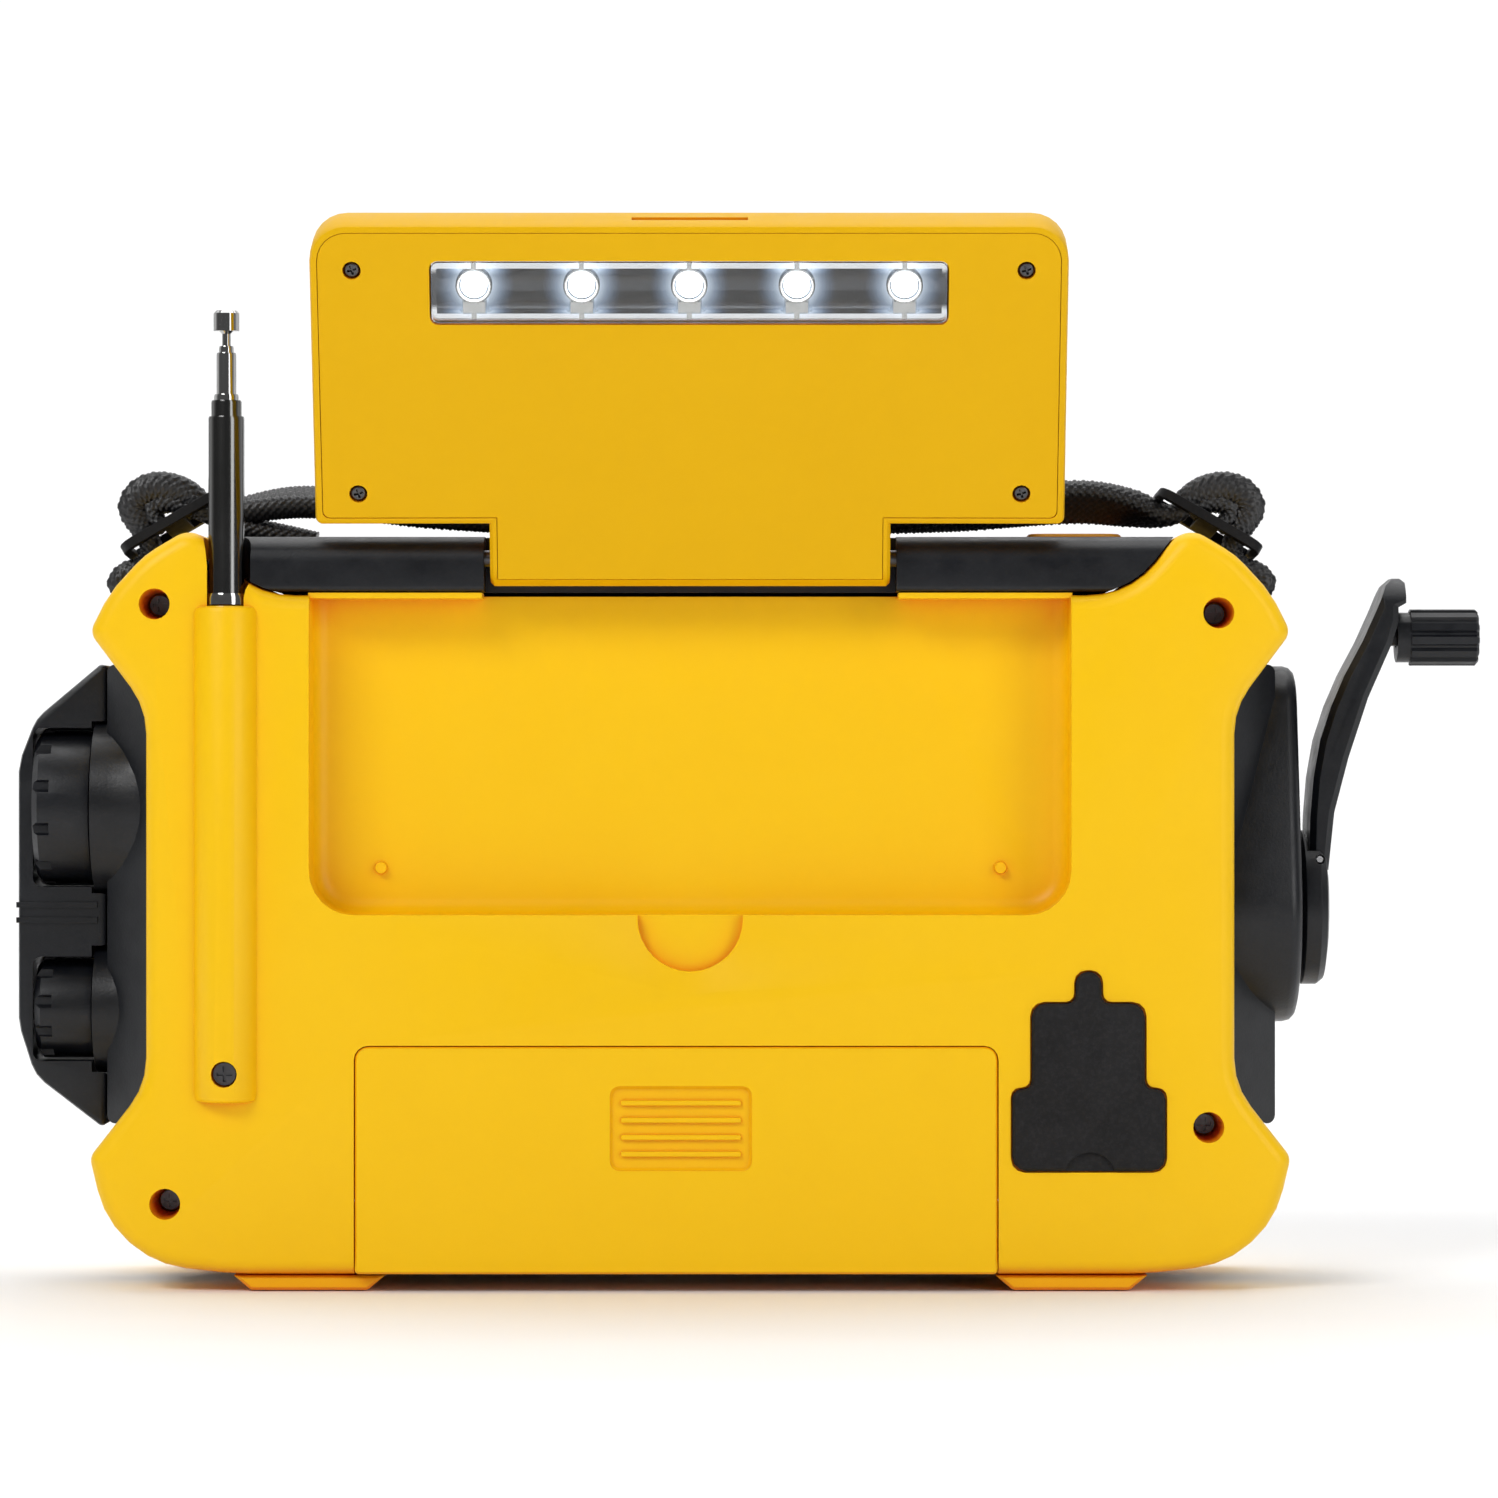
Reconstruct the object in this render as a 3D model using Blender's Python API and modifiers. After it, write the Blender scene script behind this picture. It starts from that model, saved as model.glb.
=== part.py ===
"""Portable emergency radio with a hand crank, a solar and lamp panel, and a telescopic aerial.

Lengths are written in millimetres and turned into metres where a mesh is made.
X runs to the right seen from the back, Y runs from the back (-) to the front (+), Z is up.
The case rests on its feet at Z = 0, and -Y is the back, with the panel and the battery door.
"""

import bmesh
import bpy
from math import cos, degrees, pi, radians, sin, sqrt
from mathutils import Matrix, Vector

MM = 0.001
GAP = 0.3  # air between two pieces that touch
DOOR_GAP = 0.16

# The case, from back to front: rear shell, middle case, front frame.
BACK = -30.0
SEAM_BACK = -8.0
SEAM_FRONT = 12.0
FRONT = 30.0
WALL = 2.4
BOTTOM = 3.0  # underside of the case; the feet fill the rest
CASE_TOP = 136.0  # top of the black middle case
SHELL_TOP = 125.3  # top of the shells between their ears
WAIST = 98.1  # half width of the shells at the waist

# The lamp panel, hinged on the top edge of its recess.
HINGE_Y = -25.0
HINGE_Z = 132.0
PANEL_LEAN = 20.0  # degrees towards the back, from upright
PANEL_HALF_WIDTH = 67.2
PANEL_HALF_THICK = 5.0
PANEL_REACH = 63.4  # hinge axis to far edge
PANEL_NEAR = 7.9  # hinge axis to near edge of the wide part
TAB_HALF_WIDTH = 36.0
RECESS_FLOOR = -17.5
RECESS_HALF_WIDTH = 68.6
RECESS_BOTTOM = 67.7

# The aerial stands in a ridge on the left of the back.
AERIAL_X = -83.6
AERIAL_Y = -27.6
AERIAL_MOUTH = 125.6

# The knobs stick out to the left, the crank to the right.
KNOB_Y = 0.0
TUNING_Z, TUNING_R = 86.9, 14.1
VOLUME_Z, VOLUME_R = 49.9, 9.2
CRANK_Z = 68.4
HUB_R = 14.2
GRIP_Z = 118.2

# The crank gears: module, teeth, and tooth shape.
MODULE = 0.8
DRIVE_TEETH, IDLER_WHEEL_TEETH = 44, 12
IDLER_OUT_TEETH, PINION_TEETH = 36, 10


def reset():
    for item in list(bpy.data.objects):
        bpy.data.objects.remove(item)


def collection(name):
    made = bpy.data.collections.new(name)
    bpy.context.scene.collection.children.link(made)
    return made


reset()
PARTS = collection("portable_radio")
CUTTERS = collection("cutters")


def material(name, colour, roughness, metallic=0.0):
    """A plain Principled material."""
    made = bpy.data.materials.new(name)
    made.use_nodes = True
    shader = made.node_tree.nodes["Principled BSDF"]
    shader.inputs["Base Color"].default_value = (*colour, 1.0)
    shader.inputs["Roughness"].default_value = roughness
    shader.inputs["Metallic"].default_value = metallic
    return made


YELLOW = ((0.91, 0.53, 0.015), 0.42, 0.0)
PANEL_YELLOW = ((0.85, 0.46, 0.008), 0.42, 0.0)
BLACK = ((0.014, 0.015, 0.017), 0.5, 0.0)
RUBBER = ((0.016, 0.016, 0.017), 0.85, 0.0)
CHROME = ((0.75, 0.75, 0.77), 0.12, 1.0)
STEEL = ((0.45, 0.46, 0.48), 0.35, 1.0)
BLACK_STEEL = ((0.03, 0.03, 0.032), 0.35, 1.0)
CLEAR = ((0.8, 0.82, 0.85), 0.05, 0.0)
SOLAR = ((0.01, 0.012, 0.035), 0.12, 0.0)
GREEN = ((0.02, 0.12, 0.04), 0.5, 0.0)
WHITE = ((0.9, 0.92, 0.95), 0.3, 0.0)
ORANGE = ((0.88, 0.36, 0.01), 0.4, 0.0)
NYLON = ((0.8, 0.79, 0.74), 0.5, 0.0)
FERRITE = ((0.03, 0.028, 0.027), 0.6, 0.0)
WRAP = ((0.05, 0.16, 0.3), 0.45, 0.0)
CORD = ((0.008, 0.008, 0.009), 0.9, 0.0)


def arc(cx, cy, radius, start, stop, steps):
    """Points on a circle from start to stop, in degrees."""
    turn = [radians(start + (stop - start) * i / steps) for i in range(steps + 1)]
    return [(cx + radius * cos(a), cy + radius * sin(a)) for a in turn]


def rounded(corners, step=15.0):
    """An outline through corners (x, y, radius), each rounded by an arc with a point every step degrees."""
    points = []
    for i, (x, y, radius) in enumerate(corners):
        before = Vector(corners[i - 1][:2]) - Vector((x, y))
        after = Vector(corners[(i + 1) % len(corners)][:2]) - Vector((x, y))
        inner = before.angle(after)
        if radius <= 0 or inner > pi - 0.01:
            points.append((x, y))
            continue
        reach = radius / max(sin(inner / 2) / cos(inner / 2), 1e-6)
        reach = min(reach, before.length * 0.49, after.length * 0.49)
        bow = reach * sin(inner / 2) / cos(inner / 2)
        inward = (before.normalized() + after.normalized()).normalized()
        middle = Vector((x, y)) + inward * (bow / sin(inner / 2))
        first = Vector((x, y)) + before.normalized() * reach - middle
        turn = pi - inner
        side = 1 if before.x * after.y - before.y * after.x < 0 else -1
        count = max(1, round(degrees(turn) / step))
        for k in range(count + 1):
            spin = Matrix.Rotation(side * turn * k / count, 2)
            points.append(tuple(middle + spin @ first))
    return points


def mirrored(half):
    """A full list of corners from those of the right half, listed from top to bottom."""
    return half + [(-x, y, radius) for x, y, radius in reversed(half)]


def add_object(name, mesh, group=None):
    made = bpy.data.objects.new(name, mesh)
    (group or CUTTERS).objects.link(made)
    return made


# Outlines are drawn in a plane and pushed out along its normal axis.
PLANES = {
    "Y": Matrix(((1, 0, 0, 0), (0, 0, -1, 0), (0, 1, 0, 0), (0, 0, 0, 1))),
    "X": Matrix(((0, 0, 1, 0), (1, 0, 0, 0), (0, 1, 0, 0), (0, 0, 0, 1))),
    "Z": Matrix.Identity(4),
}


def plate(name, points, axis, low, high, bevel=0.0, segments=2, holes=(), rim="both"):
    """A closed flat outline between low and high along axis, as a mesh. rim says which rims are rounded."""
    curve = bpy.data.curves.new(name, "CURVE")
    curve.dimensions = "2D"
    curve.fill_mode = "BOTH"
    for ring in (points, *holes):
        spline = curve.splines.new("POLY")
        spline.points.add(len(ring) - 1)
        for knot, (x, y) in zip(spline.points, ring):
            knot.co = (x * MM, y * MM, 0, 1)
        spline.use_cyclic_u = True
    curve.extrude = (high - low) * MM / 2
    flat = add_object(name + "_outline", curve)
    bpy.context.view_layer.update()
    mesh = bpy.data.meshes.new_from_object(flat.evaluated_get(bpy.context.evaluated_depsgraph_get()))
    bpy.data.objects.remove(flat)
    middle = {"X": ((low + high) / 2, 0, 0), "Y": (0, (low + high) / 2, 0), "Z": (0, 0, (low + high) / 2)}
    work = bmesh.new()
    work.from_mesh(mesh)
    bmesh.ops.remove_doubles(work, verts=work.verts, dist=1e-6)
    bmesh.ops.dissolve_limit(work, angle_limit=0.002, verts=work.verts, edges=work.edges, delimit=set())
    bmesh.ops.transform(
        work, matrix=Matrix.Translation(Vector(middle[axis]) * MM) @ PLANES[axis], verts=work.verts
    )
    bmesh.ops.recalc_face_normals(work, faces=work.faces)
    if bevel:
        index = "XYZ".index(axis)
        wanted = {"both": (low, high), "low": (low,), "high": (high,)}[rim]
        rims = [
            edge
            for edge in work.edges
            if any(all(abs(v.co[index] - level * MM) < 1e-6 for v in edge.verts) for level in wanted)
        ]
        bmesh.ops.bevel(
            work, geom=rims, offset=bevel * MM, segments=segments, profile=0.5, affect="EDGES",
            clamp_overlap=True
        )
    mesh.clear_geometry()
    work.to_mesh(mesh)
    work.free()
    mesh.name = name
    return add_object(name, mesh)


def block(name, low, high, bevel=0.0, segments=2):
    """A box between two corners, with rounded edges."""
    work = bmesh.new()
    bmesh.ops.create_cube(work, size=1.0)
    size = [(b - a) * MM for a, b in zip(low, high)]
    middle = [(a + b) * MM / 2 for a, b in zip(low, high)]
    bmesh.ops.scale(work, vec=size, verts=work.verts)
    bmesh.ops.translate(work, vec=middle, verts=work.verts)
    if bevel:
        bmesh.ops.bevel(
            work, geom=work.edges[:], offset=bevel * MM, segments=segments, profile=0.5, affect="EDGES"
        )
    mesh = bpy.data.meshes.new(name)
    work.to_mesh(mesh)
    work.free()
    return add_object(name, mesh)


def rod(name, start, end, radius, sides=24, end_radius=None, bevel=0.0):
    """A cylinder or cone between two points."""
    start, end = Vector(start) * MM, Vector(end) * MM
    along = end - start
    turn = along.to_track_quat("Z", "Y").to_matrix().to_4x4()
    work = bmesh.new()
    bmesh.ops.create_cone(
        work,
        cap_ends=True,
        segments=sides,
        radius1=radius * MM,
        radius2=(radius if end_radius is None else end_radius) * MM,
        depth=along.length,
        matrix=Matrix.Translation((start + end) / 2) @ turn,
    )
    if bevel:
        caps = [edge for face in work.faces if len(face.verts) > 4 for edge in face.edges]
        edges = list(set(caps))
        bmesh.ops.bevel(work, geom=edges, offset=bevel * MM, segments=2, profile=0.5, affect="EDGES")
    mesh = bpy.data.meshes.new(name)
    work.to_mesh(mesh)
    work.free()
    return add_object(name, mesh)


def turned(name, profile, place, direction, steps=32):
    """A profile of (radius, height) points, closed on itself or from axis to axis, turned about direction."""
    mesh = bpy.data.meshes.new(name)
    points = [(radius * MM, 0, height * MM) for radius, height in profile]
    edges = [(i, i + 1) for i in range(len(points) - 1)]
    if profile[0][0] > 0:
        edges.append((len(points) - 1, 0))
    mesh.from_pydata(points, edges, [])
    made = add_object(name, mesh)
    screw = made.modifiers.new("turn", "SCREW")
    screw.steps = steps
    screw.render_steps = steps
    screw.use_merge_vertices = True
    screw.merge_threshold = 1e-6
    screw.use_normal_calculate = True
    made.matrix_world = (
        Matrix.Translation(Vector(place) * MM)
        @ Vector(direction).to_track_quat("Z", "Y").to_matrix().to_4x4()
    )
    return settle(made)


def settle(made):
    """The object again with its modifiers and placement worked into its mesh, and faces pointing out."""
    bpy.context.view_layer.update()
    depsgraph = bpy.context.evaluated_depsgraph_get()
    mesh = bpy.data.meshes.new_from_object(made.evaluated_get(depsgraph))
    mesh.transform(made.matrix_world)
    work = bmesh.new()
    work.from_mesh(mesh)
    bmesh.ops.remove_doubles(work, verts=work.verts, dist=1e-7)
    bmesh.ops.dissolve_degenerate(work, dist=1e-7, edges=work.edges)
    bmesh.ops.recalc_face_normals(work, faces=work.faces)
    if work.calc_volume(signed=True) < 0:
        bmesh.ops.reverse_faces(work, faces=work.faces)
    work.to_mesh(mesh)
    work.free()
    made.modifiers.clear()
    made.matrix_world = Matrix.Identity(4)
    made.data = mesh
    return made


def combine(target, others, operation):
    """Boolean of target with each other object, which is then used up."""
    for other in others:
        tool = target.modifiers.new("tool", "BOOLEAN")
        tool.operation = operation
        tool.solver = "EXACT"
        tool.object = other
        settle(target)
        bpy.data.objects.remove(other)
    return target


def cut(target, *others):
    return combine(target, others, "DIFFERENCE")


def join(target, *others):
    return combine(target, others, "UNION")


def node(made, look, origin=None, tidy=True):
    """Files an object as a finished part: clean flat faces, its own material, and its origin."""
    work = bmesh.new()
    work.from_mesh(made.data)
    if tidy:
        bmesh.ops.dissolve_limit(work, angle_limit=0.002, verts=work.verts, edges=work.edges, delimit=set())
        bmesh.ops.triangulate(work, faces=[face for face in work.faces if len(face.verts) > 4])
    work.to_mesh(made.data)
    work.free()
    for group in list(made.users_collection):
        group.objects.unlink(made)
    PARTS.objects.link(made)
    made.data.materials.clear()
    made.data.materials.append(material(made.name, *look))
    made.data.shade_smooth()
    made.data.set_sharp_from_angle(angle=radians(32))
    if origin is not None:
        place = Vector(origin) * MM
        made.data.transform(Matrix.Translation(-place))
        made.location = place
    return made


def inset(points, depth):
    """An outline moved inwards by depth, for outlines listed either way round."""
    area = sum(a[0] * b[1] - b[0] * a[1] for a, b in zip(points, points[1:] + points[:1]))
    side = 1 if area > 0 else -1
    moved = []
    for i, point in enumerate(points):
        here = Vector(point)
        first = (here - Vector(points[i - 1])).normalized()
        second = (Vector(points[(i + 1) % len(points)]) - here).normalized()
        normal = (Vector((-first.y, first.x)) + Vector((-second.y, second.x))).normalized() * side
        moved.append(tuple(here + normal * depth / max(normal.dot(Vector((-first.y, first.x)) * side), 0.5)))
    return moved


def shell_outline():
    """The shared outline of rear shell and front frame: eared at the top, waisted at the sides."""
    half = [
        (79.0, SHELL_TOP, 16.0),
        (89.3, 138.0, 4.5),
        (98.4, 132.6, 16.0),
        (104.8, 125.6, 14.0),
        (108.3, 118.6, 2.8),
        (WAIST, 105.0, 14.0),
        (WAIST, 37.0, 14.0),
        (108.3, 24.0, 2.8),
        (105.6, 12.6, 18.0),
        (96.6, 4.6, 18.0),
        (82.0, BOTTOM, 40.0),
    ]
    return rounded(mirrored(half), 11.0)


def middle_outline():
    """The middle case: flat on top, and a little inside the shells elsewhere."""
    half = [
        (87.2, CASE_TOP, 4.0),
        (91.0, 133.5, 3.0),
        (101.4, 126.8, 7.0),
        (105.3, 118.6, 2.9),
        (WAIST - 2.2, 105.8, 14.0),
        (WAIST - 2.2, 36.2, 14.0),
        (105.3, 24.0, 2.9),
        (100.6, 12.6, 8.0),
        (85.5, 5.4, 14.0),
    ]
    return rounded(mirrored(half))


def round_box(x0, x1, z0, z1, radius, step=22.5):
    return rounded([(x0, z0, radius), (x1, z0, radius), (x1, z1, radius), (x0, z1, radius)], step)


CASE_SCREWS = [(-96.4, 123.7), (95.1, 122.1), (-94.5, 15.7), (93.3, 29.5)]
SCREW_SEAT = BACK + 13.0
HOLE_R = 2.8  # a case screw hole, which narrows to its seat
SEAT_R = 2.1
DOOR = (-60.5, 55.5, BOTTOM, 44.2)
GRIP = (-14.4, 11.1, 21.7, 36.9)
STRAP_WIDE, STRAP_THICK, STRAP_Y = 8.6, 3.5, 1.8
DISPLAY = (-38.0, 38.0, 78.0, 108.0)
SPEAKER_X, SPEAKER_Z, SPEAKER_R = 48.0, 45.0, 27.0
PIN_X, PIN_Z = 101.6, 123.6  # strap bars, in the ears


def cover_outline(grow=0.0):
    """The rubber port cover: a wide lower block, a narrower upper block and a round nub on top."""
    g = grow
    return rounded(
        [
            (58.0 - g, 21.7 - g, 2.5),
            (85.5 + g, 21.7 - g, 2.5),
            (85.5 + g, 36.4 + g, 2.5),
            (81.8 + g, 36.4 + g, 1.5),
            (81.8 + g, 51.8 + g, 2.5),
            (74.0 + g, 51.8 + g, 1.5),
            (74.0 + g, 57.5 + g, 2.2),
            (69.4 - g, 57.5 + g, 2.2),
            (69.4 - g, 51.8 + g, 1.5),
            (61.5 - g, 51.8 + g, 2.5),
            (61.5 - g, 36.4 + g, 1.5),
            (58.0 - g, 36.4 + g, 2.5),
        ],
        30.0,
    )


def recess_cutter():
    """The panel's recess, with a sloping foot to its walls, open at the back and at the top."""
    outline = rounded(
        [
            (-RECESS_HALF_WIDTH, RECESS_BOTTOM, 8.0),
            (RECESS_HALF_WIDTH, RECESS_BOTTOM, 8.0),
            (RECESS_HALF_WIDTH, SHELL_TOP + 9, 0.0),
            (-RECESS_HALF_WIDTH, SHELL_TOP + 9, 0.0),
        ]
    )
    return plate("recess", outline, "Y", BACK - 3, RECESS_FLOOR, bevel=3.0, segments=3, rim="high")


def rear_shell():
    shell = plate(
        "rear_shell", shell_outline(), "Y", BACK, SEAM_BACK - GAP / 2, bevel=3.0, segments=3, rim="low"
    )
    ridge = plate(
        "ridge",
        arc(AERIAL_X, AERIAL_Y, 6.2, 180, 360, 10) + [(AERIAL_X + 6.2, BACK + 4), (AERIAL_X - 6.2, BACK + 4)],
        "Z",
        34.0,
        123.3,
        bevel=1.2,
    )
    join(shell, ridge)
    room = plate("room", inset(shell_outline(), WALL), "Y", BACK + WALL, SEAM_BACK + 2)
    keep = [
        block("keep", (-71, BACK, RECESS_BOTTOM - WALL), (71, RECESS_FLOOR + WALL, 130)),
        block("keep", (-72.2, BACK, 118), (72.2, RECESS_FLOOR + WALL, 130)),
        rod("keep", (AERIAL_X, AERIAL_Y, 20), (AERIAL_X, AERIAL_Y, 128), 6.2, 24),
    ]
    keep.append(rod("keep", (0, BACK, 67.0), (0, BACK + 6.6, 67.0), 12.0, 24))
    keep += [rod("keep", (x, BACK, z), (x, SEAM_BACK + 3, z), 5.0, 20) for x, z in CASE_SCREWS]
    cut(shell, cut(room, *keep))
    cut(shell, recess_cutter())
    notch = rod("notch", (0, BACK - 2, 67.0), (0, BACK + 2.0, 67.0), 17.0, 40, end_radius=10.0)
    deep = rod("deep", (0, BACK - 1, 67.0), (0, BACK + 4.2, 67.0), 9.5, 32)
    cut(shell, notch, deep)
    gap = TAB_HALF_WIDTH + 1
    cut(shell, block("hinge_gap", (-gap, BACK - 5, SHELL_TOP - 6), (gap, -18.5, 140)))
    for x, z in CASE_SCREWS:
        cut(shell, rod("hole", (x, BACK - 0.01, z), (x, SCREW_SEAT, z), HOLE_R, 24, end_radius=SEAT_R))
        cut(shell, rod("mouth", (x, BACK - 1, z), (x, BACK, z), HOLE_R, 24))
        cut(shell, rod("hole", (x, BACK, z), (x, SEAM_BACK + 1, z), 1.6, 12))
    x0, x1, z0, z1 = DOOR
    cut(shell, plate("door_hole", round_box(x0, x1, z0 - 6, z1, 2.6), "Y", BACK - 1, BACK + 6))
    cut(shell, plate("pocket", cover_outline(GAP), "Y", BACK - 1, BACK + 1.5))
    cut(shell, block("ports", (60.5, BACK - 1, 24.0), (83.0, BACK + 5, 35.0)))
    cut(shell, block("ports", (64.0, BACK - 1, 34.5), (79.5, BACK + 5, 49.0)))
    cut(shell, rod("bore", (AERIAL_X, AERIAL_Y, 43), (AERIAL_X, AERIAL_Y, 141), 4.1, 24))
    cut(shell, rod("screw", (AERIAL_X, BACK - 5, 39.2), (AERIAL_X, BACK + 0.6, 39.2), 2.35, 16))
    cut(shell, rod("screw", (AERIAL_X, BACK - 1, 39.2), (AERIAL_X, BACK + 7, 39.2), 1.5, 12))
    for x0, x1 in ((-68.9, -37.6), (37.6, 68.9)):
        join(shell, block("shelf", (x0, BACK + 2.7, 124.8), (x1, RECESS_FLOOR + 0.3, 125.8)))
    for x in (-56.3, 56.3):
        start, end = (x, RECESS_FLOOR + 0.5, 76), (x, RECESS_FLOOR - 1.4, 76)
        join(shell, rod("stud", start, end, 1.3, 16, end_radius=1.0))
    node(shell, YELLOW)


def middle_case():
    """The black middle case: a ring between the shells, with the two ledges that carry the hinge."""
    low, high = SEAM_BACK + GAP / 2, SEAM_FRONT - GAP / 2
    case = plate("middle_case", middle_outline(), "Y", low, high)
    cut(case, plate("inside", inset(middle_outline(), WALL), "Y", low - 1, high + 1))
    trim = inset(shell_outline(), -GAP)
    for name, edge, inner in (("back_ledge", -28.2, low + 2), ("front_ledge", 28.2, high - 2)):
        section = rounded(
            [(edge, 126.0, 1.0), (inner, 126.0, 0.0), (inner, CASE_TOP, 0.0), (edge, CASE_TOP, 7.0)], 15.0
        )
        ledge = plate(name, section, "X", -89.0, 89.0)
        near, far = sorted((edge * 1.5, 0.0))
        join(case, cut(ledge, plate("trim", trim, "Y", near, far)))
    cut(case, block("inside", (-84, -15.8, 120), (84, 25.4, CASE_TOP - WALL)))
    gap = TAB_HALF_WIDTH + 1.2
    cut(case, block("hinge_gap", (-gap, -40, 120), (gap, HINGE_Y + 6.8, 140)))
    cut(case, rod("pin_hole", (-44.5, HINGE_Y, HINGE_Z), (44.5, HINGE_Y, HINGE_Z), 1.9, 16))
    cut(case, rod("groove", (AERIAL_X, AERIAL_Y, 118), (AERIAL_X, AERIAL_Y, 141), 4.4, 24))
    for z, radius in ((TUNING_Z, 3.6), (VOLUME_Z, 3.6)):
        cut(case, rod("hole", (-110, KNOB_Y, z), (-88, KNOB_Y, z), radius, 16))
    cut(case, rod("hole", (88, 0, CRANK_Z), (110, 0, CRANK_Z), 3.8, 16))
    for side in (-1, 1):
        x = side * PIN_X
        cut(case, rod("strap_notch", (x, STRAP_Y - 5.6, PIN_Z), (x, STRAP_Y + 5.6, PIN_Z), 6.4, 20))
        ear = rod("ear", (x, low + 0.2, PIN_Z), (x, STRAP_Y - 5.5, PIN_Z), 3.2, 12)
        other_ear = rod("ear", (x, STRAP_Y + 5.5, PIN_Z), (x, high - 0.2, PIN_Z), 3.2, 12)
        join(case, ear, other_ear, rod("bar", (x, low + 0.5, PIN_Z), (x, high - 0.5, PIN_Z), 1.4, 12))
    x0, x1 = 61.9, 79.4
    outline = round_box(x0 - GAP, x1 + GAP, -3.3, 4.3, 3.8)
    cut(case, plate("button_hole", outline, "Z", CASE_TOP - 4, CASE_TOP + 1))
    node(case, BLACK)


def front_frame():
    low = SEAM_FRONT + GAP / 2
    frame = plate("front_frame", shell_outline(), "Y", low, FRONT, bevel=3.0, segments=2, rim="high")
    room = plate("room", inset(shell_outline(), WALL), "Y", low - 2, FRONT - WALL)
    posts = [rod("post", (x, low - 3, z), (x, FRONT, z), 4.0, 16) for x, z in CASE_SCREWS]
    cut(frame, cut(room, *posts))
    cut(frame, plate("opening", round_box(-84, 84, 12, 117, 9.0), "Y", FRONT - 8, FRONT + 1))
    for x, z in CASE_SCREWS:
        cut(frame, rod("thread", (x, low - 1, z), (x, low + 8, z), 1.5, 12))
    node(frame, YELLOW)


FRONT_KEYS = [(-12.0, 66.0), (12.0, 66.0)]


def front_panel():
    """The black face: display opening, key holes and the speaker's slots."""
    outline = round_box(-83.7, 83.7, 12.3, 116.7, 8.7)
    panel = plate("front_panel", outline, "Y", FRONT - 2.6, FRONT - 0.4, bevel=0.5)
    x0, x1, z0, z1 = DISPLAY
    cut(panel, plate("display", round_box(x0, x1, z0, z1, 3.0), "Y", FRONT - 5, FRONT + 1))
    for x, z in FRONT_KEYS:
        hole = round_box(x - 7.3, x + 7.3, z - 3.3, z + 3.3, 2.0)
        cut(panel, plate("key", hole, "Y", FRONT - 5, FRONT + 1))
    for i in range(-4, 5):
        z = SPEAKER_Z + i * 5.4
        reach = sqrt(SPEAKER_R**2 - (i * 5.4) ** 2) - 2.0
        x = SPEAKER_X
        cut(panel, block("slot", (x - reach, FRONT - 5, z - 0.9), (x + reach, FRONT + 1, z + 0.9)))
    node(panel, BLACK)
    node(
        plate("display_window", round_box(x0 + GAP, x1 - GAP, z0 + GAP, z1 - GAP, 2.7), "Y", FRONT - 2.4,
              FRONT - 0.6),
        CLEAR,
    )
    for number, (x, z) in enumerate(FRONT_KEYS, 1):
        key = plate(
            f"front_key_{number}", round_box(x - 7, x + 7, z - 3, z + 3, 1.8), "Y", FRONT - 4.4, FRONT + 0.6,
            0.4, 1, rim="high"
        )
        node(key, ORANGE if number == 1 else BLACK, (x, FRONT, z))


def speaker():
    y = FRONT - 3.0
    x, z = SPEAKER_X, SPEAKER_Z
    profile = [(0, -8.0), (9.0, -7.0), (22.0, -1.0), (23.0, 0), (26.0, 0), (26.0, -2.0), (20.0, -8.0), (13.0, -9.0)]
    node(turned("speaker", profile + [(13.0, -12.5), (0, -12.5)], (x, y, z), (0, 1, 0), 24), BLACK)


def side_outline(side):
    half = [(107.0, 116.0, 1.5), (WAIST + 0.3, 104.7, 13.6), (WAIST + 0.3, 37.3, 13.6), (107.0, 26.2, 1.5)]
    return rounded([(side * x, z, radius) for x, z, radius in half])


# The panels slope away from the middle of the case: outer edge, then where the slope meets the waist.
SLOPE_TOP = (107.2, -9.0)
SLOPE_FOOT = (97.4, -20.5)


def side_plate(name, side):
    """A panel in the waist, its back edge cut to a slope."""
    made = plate(name, side_outline(side), "Y", -19.6, 14, bevel=0.8, segments=2, rim="high")
    wedge = [SLOPE_TOP, SLOPE_FOOT, (SLOPE_FOOT[0], -30.0), (115.0, -30.0), (115.0, SLOPE_TOP[1])]
    cut(made, plate("wedge", [(side * x, y) for x, y in wedge], "Z", 15.0, 130.0))
    return made


def side_panels():
    """Black side panels that fill the waists: knob cups on the left, the crank's boss on the right."""
    left = side_plate("side_panel_left", -1)
    for z, radius, room in ((TUNING_Z, 16.5, 15.2), (VOLUME_Z, 12.0, 10.4)):
        skirt = [(0.0, 0.0), (radius + 1.2, 0.0), (radius + 0.2, 4.0)]
        profile = skirt + [(radius, 8.0), (radius, 11.2), (0.0, 11.2)]
        join(left, turned("cup", list(reversed(profile)), (-98.4, KNOB_Y, z), (-1, 0, 0), 36))
        cut(left, rod("hollow", (-107.6, KNOB_Y, z), (-112, KNOB_Y, z), room, 32))
        cut(left, rod("hole", (-115, KNOB_Y, z), (-90, KNOB_Y, z), 3.4, 12))
    node(left, BLACK)
    right = side_plate("side_panel_right", 1)
    egg = arc(0, CRANK_Z, 21.1, 172, 368, 26) + arc(0, 102.6, 10.3, 12, 168, 14)
    boss = plate("boss", egg, "X", 98.4, 107.0)
    combine(boss, [plate("waist", side_outline(1), "Y", -30, 30)], "INTERSECT")
    join(right, boss, plate("pad", egg, "X", 106.5, 111.2, bevel=2.2, segments=3, rim="high"))
    cut(right, rod("hole", (90, 0, CRANK_Z), (115, 0, CRANK_Z), 3.6, 16))
    node(right, BLACK)


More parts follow.
